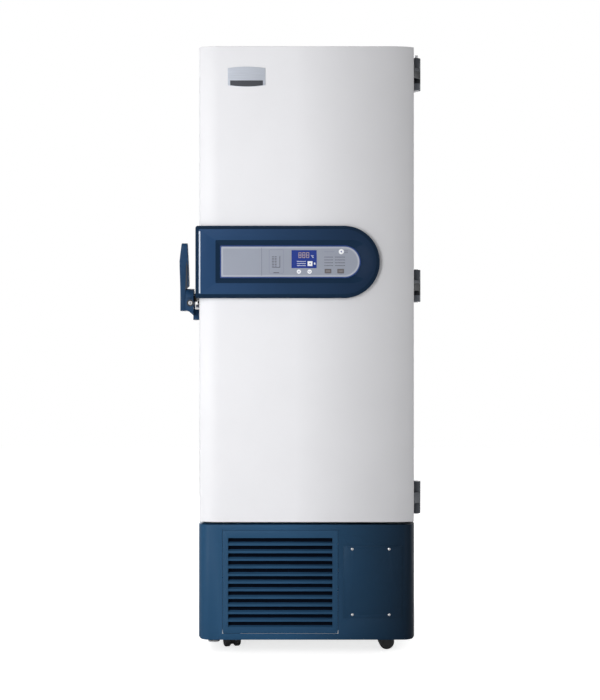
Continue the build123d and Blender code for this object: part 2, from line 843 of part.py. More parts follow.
# Hinge pins with a flat head at both ends, and a cap over the highest
with BuildPart() as hinge_pins:
    head_radius, head_height = hinge_pin_head
    cap_radius, cap_height = hinge_cap
    for middle in hinge_middles:
        with Locations((hinge_x, hinge_y, middle)):
            Cylinder(hinge_pin_radius, hinge_length)
        head = hinge_length / 2 + head_height / 2
        with Locations((hinge_x, hinge_y, middle - head), (hinge_x, hinge_y, middle + head)):
            Cylinder(head_radius, head_height)
    with Locations((hinge_x, hinge_y, hinge_high + (hinge_length + cap_height) / 2)):
        Cylinder(cap_radius, cap_height)
finish("hinge_pins", hinge_pins)

def capsule_end(left, centre, height, corner):
    """Sketch an outline with a square left end and a round right end, about the console's middle."""
    half = height / 2
    low, high = console_middle - half, console_middle + half
    with BuildLine() as outline:
        Line((centre, low), (left + corner, low))
        RadiusArc((left + corner, low), (left, low + corner), corner)
        Line((left, low + corner), (left, high - corner))
        RadiusArc((left, high - corner), (left + corner, high), corner)
        Line((left + corner, high), (centre, high))
        ThreePointArc((centre, high), (centre + half, console_middle), (centre, low))
    make_face(outline.edges())

# Console housing: bevelled edges, a sloping recess and a wrap round the door's left side
with BuildPart() as console_housing:
    with BuildSketch(at_y(door_front_y + door_curve[1])):
        capsule_end(console_left, console_right_centre, console_height, console_left_round)
    extrude(amount=door_curve[1] + console_depth - console_bevel)
    with BuildSketch(at_y(console_front_y + console_bevel)):
        capsule_end(console_left, console_right_centre, console_height, console_left_round)
    with BuildSketch(at_y(console_front_y)):
        bevelled_height = console_height - 2 * console_bevel
        capsule_end(console_left + console_bevel, console_right_centre, bevelled_height, recess_corner)
    loft()
    low = console_middle - console_height / 2
    block(
        (console_left, door_front_y, low + console_bevel),
        (-door_curve_x, door_front_y + console_wrap_back, low + console_height - console_bevel),
    )
    with BuildSketch(Plane.XY.offset(door_bottom)):
        door_outline(0)
    extrude(amount=door_height, mode=Mode.SUBTRACT)
    with BuildSketch(at_y(console_front_y)):
        capsule_end(recess_left, recess_right_centre, recess_height, recess_corner)
    with BuildSketch(at_y(recess_floor_y)):
        capsule_end(panel_left, panel_right_centre, panel_height, recess_corner)
    loft(mode=Mode.SUBTRACT)
    with BuildSketch(at_y(recess_floor_y)):
        capsule_end(
            panel_left + panel_ledge, panel_right_centre, panel_height - 2 * panel_ledge, recess_corner
        )
    extrude(amount=-(door_front_y - recess_floor_y), mode=Mode.SUBTRACT)
finish("console_housing", console_housing)

# Console panel with the openings of the window and the buttons
panel_place = (panel_right_centre, console_middle)


def on_panel(shift):
    """Turn a shift from the middle of the panel's round end into a place on the door (x, z)."""
    return (panel_place[0] + shift[0], panel_place[1] + shift[1])


with BuildPart() as console_panel:
    with BuildSketch(at_y(recess_floor_y)):
        capsule_end(panel_left + seat, panel_right_centre, panel_height - 2 * seat, recess_corner)
        with Locations(on_panel(window_shift)):
            Rectangle(window_size[0] + 2 * seat, window_size[1] + 2 * seat, mode=Mode.SUBTRACT)
        with Locations(on_panel(up_shift), on_panel(down_shift)):
            Circle(arrow_radius + button_play, mode=Mode.SUBTRACT)
        with Locations(on_panel(mute_shift)):
            Circle(mute_radius + button_play, mode=Mode.SUBTRACT)
        with Locations(*[on_panel(shift) for shift in key_shifts.values()]):
            Rectangle(key_size[0] + 2 * button_play, key_size[1] + 2 * button_play, mode=Mode.SUBTRACT)
    extrude(amount=panel_thickness)
finish("console_panel", console_panel)

with BuildPart() as display_window:
    with BuildSketch(at_y(recess_floor_y)):
        with Locations(on_panel(window_shift)):
            Rectangle(*window_size)
        with Locations(on_panel(set_shift)):
            Rectangle(set_side + 2 * button_play, set_side + 2 * button_play, mode=Mode.SUBTRACT)
    extrude(amount=panel_thickness + window_proud)
finish("display_window", display_window)

# Control board across the housing's cavity, with its connector
board_half_height = panel_height / 2 - panel_ledge - seat
board_back_y = board_front_y + board_size[1]
with BuildPart() as control_board:
    half = board_size[0] / 2
    block(
        (board_middle - half, board_front_y, console_middle - board_half_height),
        (board_middle + half, board_back_y, console_middle + board_half_height),
    )
    block(
        (board_middle - wiring_hole_radius, board_back_y, console_middle),
        (board_middle + wiring_hole_radius, door_front_y - seat, console_middle + wiring_hole_radius),
    )
finish("control_board", control_board)

# Buttons: a cap through the panel, a collar behind it and a stem to the board
stem_end_y = board_front_y - button_travel - seat
collar_front_y = recess_floor_y + seat
buttons = {
    "button_up": (up_shift, arrow_radius, None),
    "button_down": (down_shift, arrow_radius, None),
    "button_mute": (mute_shift, mute_radius, None),
    "button_set": (set_shift, None, (set_side, set_side)),
    "key_left": (key_shifts["left"], None, key_size),
    "key_right": (key_shifts["right"], None, key_size),
}
for name, (shift, radius, sides) in buttons.items():
    reach = button_proud + window_proud if name == "button_set" else button_proud
    with BuildPart() as button:
        for growth, near_y, far_y in (
            (0, panel_front_y - reach, collar_front_y),
            (button_collar[0], collar_front_y, collar_front_y + button_collar[1]),
            (-button_collar[0], collar_front_y + button_collar[1], stem_end_y),
        ):
            with BuildSketch(at_y(near_y)):
                with Locations(on_panel(shift)):
                    if radius:
                        Circle(radius + growth)
                    else:
                        RectangleRounded(sides[0] + 2 * growth, sides[1] + 2 * growth, button_collar[1])
            extrude(amount=-(far_y - near_y))
        chamfer(button.faces().sort_by(Axis.Y)[0].edges(), button_chamfer)
    finish(name, button)

# Handle bracket: a casting with a round head, whose foot is screwed to the side of the door
shoulder_z = pivot_z - bracket_shoulder
shoulder_y = pivot_y - sqrt(bracket_head**2 - bracket_shoulder**2)
toe_shift, toe_drop = bracket_toe
with BuildPart() as handle_bracket:
    with BuildSketch(at_y(bracket_front_y)):
        with BuildLine():
            Polyline(
                (bracket_outer, pivot_z + bracket_head),
                (bracket_inner, pivot_z + bracket_head),
                (bracket_inner, pivot_z - toe_drop),
                (bracket_outer + toe_shift, bracket_bottom),
                (bracket_outer, bracket_bottom),
                close=True,
            )
        make_face()
    extrude(amount=-(bracket_back_y - bracket_front_y))
    with BuildSketch(Plane.YZ.offset(bracket_outer)):
        with BuildLine():
            Polyline(
                (shoulder_y, shoulder_z),
                (bracket_front_y, shoulder_z),
                (bracket_front_y, foot_bottom),
                (bracket_back_y, foot_bottom),
                (bracket_back_y, pivot_z),
                (pivot_y + bracket_head, pivot_z),
            )
            ThreePointArc(
                (pivot_y + bracket_head, pivot_z), (pivot_y, pivot_z + bracket_head), (shoulder_y, shoulder_z)
            )
        make_face()
    extrude(amount=bracket_inner - bracket_outer, mode=Mode.INTERSECT)
    with BuildSketch(at_y(door_front_y + foot_depth)):
        patch((foot_outer, foot_bottom), (-half_width, foot_top))
        with Locations(((foot_outer - half_width) / 2, foot_bottom)):
            Rectangle(foot_groove, 2 * foot_groove, mode=Mode.SUBTRACT)
    extrude(amount=-(bracket_back_y - door_front_y - foot_depth))
    with BuildSketch(Plane.YZ.offset(bracket_outer)):
        with Locations((pivot_y, pivot_z)):
            Circle(pivot_radius + shaft_play)
    extrude(amount=bracket_inner - bracket_outer, mode=Mode.SUBTRACT)
    with BuildSketch(at_y(bracket_front_y)):
        with Locations(lock_place):
            Circle(lock_radius + shaft_play)
    extrude(amount=-lock_length, mode=Mode.SUBTRACT)
finish("handle_bracket", handle_bracket)

# Lock cylinder with its key slot
with BuildPart() as lock_cylinder:
    with BuildSketch(at_y(bracket_front_y - lock_proud)):
        with Locations(lock_place):
            Circle(lock_radius)
    extrude(amount=-(lock_length + lock_proud - seat))
    with BuildSketch(at_y(bracket_front_y - lock_proud)):
        with Locations(lock_place):
            Rectangle(key_slot[0], key_slot[1])
    extrude(amount=-key_slot[2], mode=Mode.SUBTRACT)
finish("lock_cylinder", lock_cylinder)

# Handle lever: the side outline cut by the front outline
lever_top_y = pivot_y - lever_lean
swell_z = (pivot_z + 2 * lever_top) / 3
lower = lever_width / 2
tip = lever_tip_width / 2
taper_z = lever_top - lever_taper
neck_slope = lever_neck_reach + half_width + lever_inner
with BuildPart() as handle_lever:
    with BuildSketch(Plane.YZ.offset(lever_outer)):
        with BuildLine():
            Line((pivot_y - lower, lever_bottom), (pivot_y - lower, pivot_z))
            Spline(
                (pivot_y - lower, pivot_z),
                (lever_top_y - tip - lever_swells[0], swell_z),
                (lever_top_y - tip, lever_top - tip),
                tangents=((0, 1), (0.1, 1)),
            )
            ThreePointArc(
                (lever_top_y - tip, lever_top - tip),
                (lever_top_y, lever_top),
                (lever_top_y + tip, lever_top - tip),
            )
            Spline(
                (lever_top_y + tip, lever_top - tip),
                (lever_top_y + tip + lever_swells[1], swell_z),
                (pivot_y + lower, pivot_z),
                tangents=((-0.1, -1), (0, -1)),
            )
            Polyline(
                (pivot_y + lower, pivot_z), (pivot_y + lower, lever_bottom), (pivot_y - lower, lever_bottom)
            )
        make_face()
    extrude(amount=lever_inner - lever_outer)
    with BuildSketch(at_y(pivot_y)):
        with BuildLine():
            Polyline(
                (lever_outer, lever_bottom),
                (lever_outer, taper_z),
                (lever_outer + lever_taper_cuts[0], lever_top),
                (lever_inner - lever_taper_cuts[1], lever_top),
                (lever_inner, taper_z),
                (lever_inner, pivot_z + lever_neck_rise),
                (lever_neck_inner, pivot_z + lever_neck_rise - neck_slope),
                (lever_neck_inner, lever_bottom),
                close=True,
            )
        make_face()
    extrude(amount=lever_rise + lever_drop, both=True, mode=Mode.INTERSECT)
    with BuildSketch(Plane.YZ.offset(lever_neck_inner)):
        with Locations((pivot_y, pivot_z)):
            Circle(pivot_radius + shaft_play)
    extrude(amount=-lever_bore_depth, mode=Mode.SUBTRACT)
finish("handle_lever", handle_lever)

# Latch hook: a plate that drops behind the striker, on the shaft that the lever turns
striker_y = striker_place[0]
notch_front_y = striker_y - striker_radius - hook_clearances[0]
nose_front_y = striker_y + striker_radius + hook_clearances[1]
nose_back_y = nose_front_y + hook_nose_length
with BuildPart() as latch_hook:
    with BuildSketch(Plane.YZ.offset(hook_outer)):
        with Locations((pivot_y, pivot_z)):
            Circle(hook_hub_radius)
        with BuildLine():
            Polyline(
                (pivot_y, pivot_z - hook_hub_radius),
                (notch_front_y, pivot_z - hook_arm_tops[1]),
                (notch_front_y, pivot_z + hook_notch_top),
                (nose_front_y, pivot_z + hook_notch_top),
                (nose_front_y, pivot_z - hook_nose_drops[0]),
                (nose_back_y, pivot_z - hook_nose_drops[1]),
                (nose_back_y, pivot_z + hook_arm_tops[1]),
                (nose_front_y, pivot_z + hook_arm_tops[0]),
                (pivot_y, pivot_z + hook_hub_radius),
                close=True,
            )
        make_face()
    extrude(amount=hook_inner - hook_outer)
    with BuildSketch(Plane.YZ.offset(hook_outer)):
        with Locations((pivot_y, pivot_z)):
            Circle(pivot_radius)
    extrude(amount=-(hook_outer - lever_neck_inner + lever_bore_depth - seat))
finish("latch_hook", latch_hook)

# Striker on the side of the cabinet
with BuildPart() as striker_bracket:
    thickness, depth, height = striker_plate
    with BuildSketch(Plane.YZ.offset(-half_width)):
        with Locations(striker_place):
            RectangleRounded(depth, height, thickness)
    extrude(amount=-thickness)
    with BuildSketch(Plane.YZ.offset(-half_width)):
        with Locations(striker_place):
            Circle(striker_radius)
    extrude(amount=-striker_reach)
finish("striker_bracket", striker_bracket)

# Base frame: tray on the casters, four corner posts and a rail round the top
post_outer = base_half - sheet
post_front_y = front_y + ledge_overlap + seat
post_rear_y = rear_y - sheet
with BuildPart() as base_frame:
    with BuildSketch(Plane.XY.offset(tray_bottom)) as tray:
        patch((-tray_half, tray_front_y), (tray_half, post_rear_y))
        fillet(tray.vertices().group_by(Axis.Y)[0], tray_corner)
    extrude(amount=tray_thickness)
    for side in (-1, 1):
        outer = side * post_outer
        inner = side * (post_outer - post_side)
        web = side * (post_outer - post_thickness)
        for y, toward in ((post_front_y, 1), (post_rear_y, -1)):
            block((outer, y, tray_bottom), (web, y + toward * post_side, base_top))
            block((outer, y, tray_bottom), (inner, y + toward * post_thickness, base_top))
        block((outer, post_front_y, base_top - rail_height), (web, post_rear_y, base_top))
        block((outer, post_front_y, base_top - post_thickness), (inner, post_rear_y, base_top))
        for y in caster_ys.values():
            place = (side * caster_x, y)
            with BuildSketch(Plane.XY.offset(tray_bottom)):
                with Locations(place):
                    Rectangle(caster_plate[0], caster_plate[1])
            extrude(amount=-caster_plate[2])
            with Locations((*place, tray_bottom)):
                Cylinder(kingpin_radius + shaft_play, 4 * caster_plate[2], mode=Mode.SUBTRACT)
        foot_place = (side * levelling_x, levelling_y)
        with BuildSketch(Plane.XY.offset(tray_top)):
            with Locations(foot_place):
                RegularPolygon(stud_nut[0], 6)
        extrude(amount=stud_nut[1])
        with Locations((*foot_place, tray_top)):
            Cylinder(stud_radius + shaft_play, 4 * stud_nut[1], mode=Mode.SUBTRACT)
finish("base_frame", base_frame)

# Side panels of the base: sheet with a flange folded in along the bottom
with BuildPart() as base_side_panels:
    for side in (-1, 1):
        outer, inner = side * base_half, side * (base_half - base_flange)
        skin = side * (base_half - sheet)
        block((outer, side_front_y, base_bottom), (skin, rear_y - sheet, base_top))
        block((outer, side_front_y, base_bottom), (inner, rear_y - sheet, base_bottom + sheet))
finish("base_side_panels", base_side_panels)

def base_outline(inset):
    """Sketch the front of the base seen from above, with its rounded corners."""
    half = base_half - inset
    front = base_front_y + inset
    radius = base_corner - inset
    with BuildLine() as outline:
        Polyline((-half, side_front_y), (half, side_front_y))
        RadiusArc((half, side_front_y), (half - radius, front), radius)
        Line((half - radius, front), (-half + radius, front))
        RadiusArc((-half + radius, front), (-half, side_front_y), radius)
    make_face(outline.edges())


# Front panel of the base: wrapped round the corners, with a ledge under the door
with BuildPart() as base_front_panel:
    with BuildSketch(Plane.XY.offset(base_bottom)):
        base_outline(0)
    extrude(amount=base_top - base_bottom)
    with BuildSketch(Plane.XY.offset(base_bottom)):
        base_outline(sheet)
    extrude(amount=base_top - base_bottom - sheet, mode=Mode.SUBTRACT)
    ledge_half = base_half - sheet
    ledge_back_y = front_y + ledge_overlap
    block((-ledge_half, side_front_y, base_top - sheet), (ledge_half, ledge_back_y, base_top))
    with BuildSketch(at_y(base_front_y)):
        with Locations((0, base_middle + base_foot_round)):
            RectangleRounded(2 * base_half, base_top - base_bottom + 2 * base_foot_round, base_foot_round)
    extrude(amount=-(ledge_back_y - base_front_y), mode=Mode.INTERSECT)
    with BuildSketch(at_y(base_front_y)):
        patch((grille_left, grille_bottom), (grille_right, grille_top))
        patch(
            (access_left + access_frame, access_bottom + access_frame),
            (access_right - access_frame, access_top - access_frame),
        )
        with Locations(*screw_places):
            Circle(screw_shank[0] + screw_play)
    extrude(amount=-sheet, mode=Mode.SUBTRACT)
finish("base_front_panel", base_front_panel)

# Front grille: a rimmed plate with slots, and a blade rising inwards from each bar
slot_lows = [slot_lowest + n * slot_pitch for n in range(slot_count)]
with BuildPart() as front_grille:
    with BuildSketch(at_y(grille_front_y)):
        centre = ((grille_left + grille_right) / 2, (grille_bottom + grille_top) / 2)
        plate_width = grille_right - grille_left - 2 * grille_seam
        plate_height = grille_top - grille_bottom - 2 * grille_seam
        with Locations(centre):
            RectangleRounded(plate_width, plate_height, grille_corner)
    extrude(amount=-(grille_thickness + grille_rim))
    with BuildSketch(at_y(grille_front_y + grille_thickness)):
        with Locations(centre):
            Rectangle(plate_width - 2 * grille_thickness, plate_height - 2 * grille_thickness)
    extrude(amount=-grille_rim, mode=Mode.SUBTRACT)
    with BuildSketch(at_y(grille_front_y)):
        for low in slot_lows:
            patch((slot_left, low), (slot_right, low + slot_height))
    extrude(amount=-grille_thickness, mode=Mode.SUBTRACT)
    root_y = grille_front_y + grille_thickness / 2
    tip_y = grille_front_y + grille_thickness + blade_depth
    with BuildSketch(Plane.YZ.offset(slot_left - blade_root)):
        for low in slot_lows:
            with BuildLine():
                Polyline(
                    (root_y, low - blade_thickness),
                    (root_y, low),
                    (tip_y, low + blade_rise),
                    (tip_y, low + blade_rise - blade_thickness),
                    close=True,
                )
            make_face()
    extrude(amount=slot_right - slot_left + 2 * blade_root)
finish("front_grille", front_grille)

# Access plate on the front panel and its screws
with BuildPart() as access_plate:
    with BuildSketch(at_y(base_front_y)):
        patch((access_left, access_bottom), (access_right, access_top))
        with Locations(*screw_places):
            Circle(screw_shank[0] + screw_play, mode=Mode.SUBTRACT)
    extrude(amount=access_thickness)
finish("access_plate", access_plate)

with BuildPart() as access_screws:
    for place in screw_places:
        with BuildSketch(at_y(base_front_y - access_thickness)):
            with Locations(place):
                Circle(screw_head[0])
        extrude(amount=screw_head[1], taper=screw_head_taper)
        with BuildSketch(at_y(base_front_y - access_thickness)):
            with Locations(place):
                Circle(screw_shank[0])
        extrude(amount=-screw_shank[1])
finish("access_screws", access_screws)

# Rear grille: sheet with two fields of slots and the gland's hole
rear_slots_left = rear_slot_side_gaps[0] - base_half
rear_slots_right = base_half - rear_slot_side_gaps[1]
rear_slot_width = (rear_slots_right - rear_slots_left - rear_slot_middle_gap) / 2
rear_slot_xs = (rear_slots_left + rear_slot_width / 2, rear_slots_right - rear_slot_width / 2)
rear_slot_lowest = base_bottom + rear_slot_end_gaps[0]
rear_slot_rows = 1 + int((base_top - rear_slot_end_gaps[1] - rear_slot_lowest) // rear_slot_pitch)
rear_slot_zs = [rear_slot_lowest + n * rear_slot_pitch for n in range(rear_slot_rows)]
with BuildPart() as rear_grille:
    with BuildSketch(at_y(rear_y)):
        patch((-base_half, base_bottom), (base_half, base_top))
        with Locations(*[(x, z) for x in rear_slot_xs for z in rear_slot_zs]):
            Rectangle(rear_slot_width, rear_slot_height, mode=Mode.SUBTRACT)
        with Locations(gland_place):
            Circle(gland_thread + seat, mode=Mode.SUBTRACT)
    extrude(amount=sheet)
finish("rear_grille", rear_grille)

# Cord gland: a threaded tube with a hexagon outside and a nut inside
hex_radius, hex_depth = gland_hex
with BuildPart() as cord_gland:
    with BuildSketch(at_y(gland_end_y)):
        with Locations(gland_place):
            Circle(gland_thread)
    extrude(amount=gland_length)
    for face_y in (rear_y + hex_depth, rear_y - sheet):
        with BuildSketch(at_y(face_y)):
            with Locations(gland_place):
                RegularPolygon(hex_radius, 6)
        extrude(amount=hex_depth)
    with BuildSketch(at_y(gland_end_y)):
        with Locations(gland_place):
            Circle(gland_bore)
    extrude(amount=gland_length, mode=Mode.SUBTRACT)
finish("cord_gland", cord_gland)

# Air filter: a pleated mat in front of the condenser
with BuildPart() as air_filter:
    pleat = (condenser_right - condenser_left) / filter_pleats
    with BuildSketch(Plane.XY.offset(tray_top)):
        with BuildLine():
            front = [
                (condenser_left + n * pleat, filter_front_y + (n % 2) * filter_thickness / 2)
                for n in range(filter_pleats + 1)
            ]
            Polyline(*front, (condenser_right, filter_back_y), (condenser_left, filter_back_y), close=True)
        make_face()
    extrude(amount=condenser_top - tray_top)
finish("air_filter", air_filter)

# Condenser: flat tubes between two round headers, in a top and a bottom rail
with BuildPart() as condenser:
    for x in (condenser_left + header_radius, condenser_right - header_radius):
        with BuildSketch(Plane.XY.offset(tray_top)):
            with Locations((x, condenser_middle_y)):
                Circle(header_radius)
        extrude(amount=condenser_top - tray_top)
    for low in (tray_top, condenser_top - header_radius):
        block(
            (condenser_left + header_radius, condenser_front_y, low),
            (condenser_right - header_radius, condenser_back_y, low + header_radius),
        )
    level = tray_top + header_radius + flat_tube_pitch
    while level < condenser_top - header_radius - flat_tube:
        half = condenser_depth / 2 - header_radius
        block(
            (condenser_left + header_radius, condenser_middle_y - half, level),
            (condenser_right - header_radius, condenser_middle_y + half, level + flat_tube),
        )
        level += flat_tube_pitch
finish("condenser", condenser)

# Fan shroud: plate, ring and three arms that carry the motor
fan_front_y = shroud_back_y - shroud_thickness
ring_back_y = fan_front_y + fan_ring_depth
motor_front_y = ring_back_y + motor_gap
with BuildPart() as fan_shroud:
    ring_radius = fan_radius + fan_tip_gap
    with BuildSketch(at_y(fan_front_y)):
        patch((condenser_left, tray_top), (condenser_right, condenser_top))
        with Locations(fan_place):
            Circle(ring_radius, mode=Mode.SUBTRACT)
    extrude(amount=-shroud_thickness)
    with BuildSketch(at_y(fan_front_y)):
        with Locations(fan_place):
            Circle(ring_radius + fan_ring_wall)
            Circle(ring_radius, mode=Mode.SUBTRACT)
    extrude(amount=-fan_ring_depth)
    with BuildSketch(at_y(ring_back_y)):
        with Locations(fan_place):
            Circle(motor_radius)
            with PolarLocations(0, 3, start_angle=90):
                with Locations((ring_radius / 2, 0)):
                    Rectangle(ring_radius + 2 * fan_ring_wall, motor_arm)
    extrude(amount=-motor_gap)
    with BuildSketch(at_y(motor_front_y)):
        with Locations(fan_place):
            Circle(motor_radius)
    extrude(amount=-motor_length)
    fillet(fan_shroud.faces().sort_by(Axis.Y)[-1].edges(), motor_round)
    with BuildSketch(at_y(ring_back_y)):
        with Locations(fan_place):
            Circle(fan_shaft_radius + shaft_play)
    extrude(amount=-motor_length / 2, mode=Mode.SUBTRACT)
finish("fan_shroud", fan_shroud)

# Fan blades: twisted blades lofted from the hub to the tip, on the motor's shaft
hub_front_y = fan_front_y + (fan_ring_depth - fan_hub[1]) / 2
hub_middle = Vector(fan_place[0], hub_front_y + fan_hub[1] / 2, fan_place[1])
blade_ends = zip((fan_blade_root, fan_radius), fan_blade_chords, fan_blade_pitches)
blade_ends = [(reach, chord, radians(pitch)) for reach, chord, pitch in blade_ends]
with BuildPart() as fan_blades:
    with BuildSketch(at_y(hub_front_y)):
        with Locations(fan_place):
            Circle(fan_hub[0])
    extrude(amount=-fan_hub[1])
    for n in range(fan_blade_count):
        angle = radians(360 / fan_blade_count * n)
        outward = Vector(cos(angle), 0, sin(angle))
        around = Vector(-sin(angle), 0, cos(angle))
        for reach, chord, pitch in blade_ends:
            chord_line = around * cos(pitch) + Vector(0, sin(pitch), 0)
            with BuildSketch(Plane(origin=hub_middle + outward * reach, x_dir=chord_line, z_dir=outward)):
                Rectangle(chord, fan_blade_thickness)
        loft()
    with BuildSketch(at_y(hub_front_y)):
        with Locations(fan_place):
            Circle(fan_shaft_radius)
    extrude(amount=-(motor_front_y - hub_front_y + motor_length / 4))
finish("fan_blades", fan_blades)

# Compressors: welded domes on a foot plate with four rubber grommets, one for each stage
foot_width, foot_sheet = compressor_foot
foot_low = tray_top + grommet[1]
shell_low = foot_low + foot_sheet
seam_z = foot_low + compressor_height * seam_share
dome_z = foot_low + compressor_height - compressor_dome
dome_top = compressor_dome_steps[-1][1]
with BuildPart() as compressors:
    for x in compressor_xs:
        with BuildSketch(Plane.XY.offset(foot_low)):
            with Locations((x, compressor_y)):
                RectangleRounded(foot_width, foot_width, grommet[0])
        extrude(amount=foot_sheet)
        with BuildSketch(Plane.XY.offset(tray_top)):
            with Locations((x, compressor_y)):
                with GridLocations(foot_width - 2 * grommet[0], foot_width - 2 * grommet[0], 2, 2):
                    Circle(grommet[0])
        extrude(amount=grommet[1])
        wall_x = x + compressor_radius
        with BuildSketch(at_y(compressor_y)):
            with BuildLine():
                Polyline(
                    (x, shell_low),
                    (wall_x - compressor_heel, shell_low),
                    (wall_x, shell_low + compressor_heel),
                    (wall_x, seam_z),
                    (wall_x + compressor_seam, seam_z),
                    (wall_x + compressor_seam, seam_z + compressor_seam),
                    (wall_x, seam_z + compressor_seam),
                    (wall_x, dome_z),
                    *[(wall_x - inward, dome_z + rise) for inward, rise in compressor_dome_steps],
                    (x, dome_z + dome_top),
                    close=True,
                )
            make_face()
        revolve(axis=Axis((x, compressor_y, 0), (0, 0, 1)))
finish("compressors", compressors)

# Refrigerant lines: between the compressors and to the condenser, with a filter drier
line_z = tray_top + pipe_height
left_x, right_x = compressor_xs
between_x = (left_x + right_x) / 2
line_front_y = compressor_y - compressor_radius
with BuildPart() as refrigerant_lines:
    routes = (
        (
            (left_x + compressor_radius + seat, compressor_y, line_z),
            (between_x, compressor_y, line_z),
            (between_x, line_front_y, line_z),
            (between_x, line_front_y, base_top - rail_height),
        ),
        (
            (condenser_right + seat, condenser_middle_y, line_z),
            (right_x, condenser_middle_y, line_z),
            (right_x, line_front_y - seat, line_z),
        ),
    )
    for route in routes:
        with BuildLine():
            path = FilletPolyline(*route, radius=pipe_bend)
        with BuildSketch(Plane(origin=path @ 0, z_dir=path % 0)):
            Circle(pipe_radius)
        sweep(path=path)
    with BuildSketch(Plane(origin=(between_x, line_front_y, line_z + 2 * pipe_bend))):
        Circle(drier_radius)
    extrude(amount=drier_length)
finish("refrigerant_lines", refrigerant_lines)

# Electrical box behind the access plate, with a lid over its front
box_front_y = base_skin_back_y + box_front_gap
lid_inset, lid_depth = box_lid
with BuildPart() as electrical_box:
    block((box_left, box_front_y, tray_top), (box_right, box_front_y + box_depth, box_top))
    fillet(electrical_box.edges().filter_by(Axis.Y), box_round)
    with BuildSketch(at_y(box_front_y)):
        with Locations(((box_left + box_right) / 2, (tray_top + box_top) / 2)):
            lid_width = box_right - box_left - 2 * lid_inset
            RectangleRounded(lid_width, box_top - tray_top - 2 * lid_inset, lid_depth)
    extrude(amount=lid_depth)
finish("electrical_box", electrical_box)


def caster(name, x, y, heading):
    """Build a twin-wheel caster about its swivel axis, its wheels trailing towards the heading."""
    along = (cos(radians(heading)), sin(radians(heading)), 0)
    swivel = Vector(x, y, 0)
    plate_bottom = tray_bottom - caster_plate[2]
    disc_radius, disc_height = caster_disc
    disc_top = plate_bottom - seat
    disc_bottom = disc_top - disc_height
    side = Plane(origin=swivel, x_dir=along, z_dir=(along[1], -along[0], 0))
    web_top = disc_radius - wheel_chamfer
    web_front, web_back = caster_trail - caster_web_round, caster_trail + caster_web_round
    with BuildPart() as fork:
        with BuildSketch(Plane(origin=swivel + Vector(0, 0, disc_bottom))):
            Circle(disc_radius)
        extrude(amount=disc_height)
        with BuildSketch(Plane(origin=swivel + Vector(0, 0, disc_top))):
            Circle(kingpin_radius)
        extrude(amount=seat + caster_plate[2] + tray_thickness)
        with BuildSketch(side):
            with BuildLine():
                Polyline(
                    (web_front, wheel_radius),
                    (-web_top, disc_bottom),
                    (web_top, disc_bottom),
                    (web_back, wheel_radius),
                )
                ThreePointArc(
                    (web_back, wheel_radius),
                    (caster_trail, wheel_radius - caster_web_round),
                    (web_front, wheel_radius),
                )
            make_face()
        extrude(amount=caster_web / 2, both=True)
        with BuildSketch(side):
            with Locations((caster_trail, wheel_radius)):
                Circle(axle_radius)
        extrude(amount=wheel_spacing / 2 + wheel_width, both=True)
    finish(f"caster_fork_{name}", fork)
    with BuildPart() as wheels:
        for way in (-1, 1):
            near = side.offset(way * wheel_spacing / 2)
            with BuildSketch(near):
                with Locations((caster_trail, wheel_radius)):
                    Circle(wheel_radius)
                    Circle(axle_radius + shaft_play, mode=Mode.SUBTRACT)
            extrude(amount=way * wheel_width)
            with BuildSketch(near.offset(way * wheel_width)):
                with Locations((caster_trail, wheel_radius)):
                    Circle(wheel_dish[0])
                    Circle(wheel_dish[1], mode=Mode.SUBTRACT)
            extrude(amount=-way * wheel_dish[2], mode=Mode.SUBTRACT)
        round_edges = wheels.edges().filter_by(GeomType.CIRCLE)
        chamfer([edge for edge in round_edges if edge.radius > wheel_radius - seat], wheel_chamfer)
    finish(f"caster_wheels_{name}", wheels)

for end, y in caster_ys.items():
    for hand, side in (("left", -1), ("right", 1)):
        corner = f"{end}_{hand}"
        caster(corner, side * caster_x, y, caster_headings[corner])

# Levelling feet under the front corners: a stud through the tray's nut and a round pad
for name, side in (("left", -1), ("right", 1)):
    place = (side * levelling_x, levelling_y)
    pad_low = base_bottom - levelling_drops[name]
    pad_top = pad_low + levelling_pad
    with BuildPart() as levelling_foot:
        with BuildSketch(Plane.XY.offset(pad_low)):
            with Locations(place):
                Circle(levelling_radius)
        extrude(amount=levelling_pad)
        chamfer(levelling_foot.edges().sort_by(Axis.Z)[-1], levelling_pad_chamfer)
        with BuildSketch(Plane.XY.offset(pad_top)):
            with Locations(place):
                Circle(stud_radius)
        extrude(amount=tray_top + stud_rise - pad_top)
    finish(f"levelling_foot_{name}", levelling_foot)
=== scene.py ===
import json
from math import cos, radians, sin, sqrt

import bmesh
import bpy
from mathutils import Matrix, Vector


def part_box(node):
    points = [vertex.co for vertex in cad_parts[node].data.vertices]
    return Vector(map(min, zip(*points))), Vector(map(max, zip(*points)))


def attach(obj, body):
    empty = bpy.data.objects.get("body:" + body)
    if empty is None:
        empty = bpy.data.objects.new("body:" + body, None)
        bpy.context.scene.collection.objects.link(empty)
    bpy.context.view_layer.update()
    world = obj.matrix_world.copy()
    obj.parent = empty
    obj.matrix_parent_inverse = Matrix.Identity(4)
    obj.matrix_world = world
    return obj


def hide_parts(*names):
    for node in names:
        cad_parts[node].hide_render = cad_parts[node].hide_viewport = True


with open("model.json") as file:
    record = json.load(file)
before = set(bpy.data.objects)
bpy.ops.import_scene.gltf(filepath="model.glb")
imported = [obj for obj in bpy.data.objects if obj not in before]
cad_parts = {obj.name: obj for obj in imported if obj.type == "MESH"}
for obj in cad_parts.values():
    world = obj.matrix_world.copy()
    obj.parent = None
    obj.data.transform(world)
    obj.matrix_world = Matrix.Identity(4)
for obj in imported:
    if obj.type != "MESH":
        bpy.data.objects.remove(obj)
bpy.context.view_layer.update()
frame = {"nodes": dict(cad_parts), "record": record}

# Sizes and places below are in millimetres, and new_piece turns them into Blender's metres.
MM = 0.001
SMOOTH_ANGLE = radians(32)
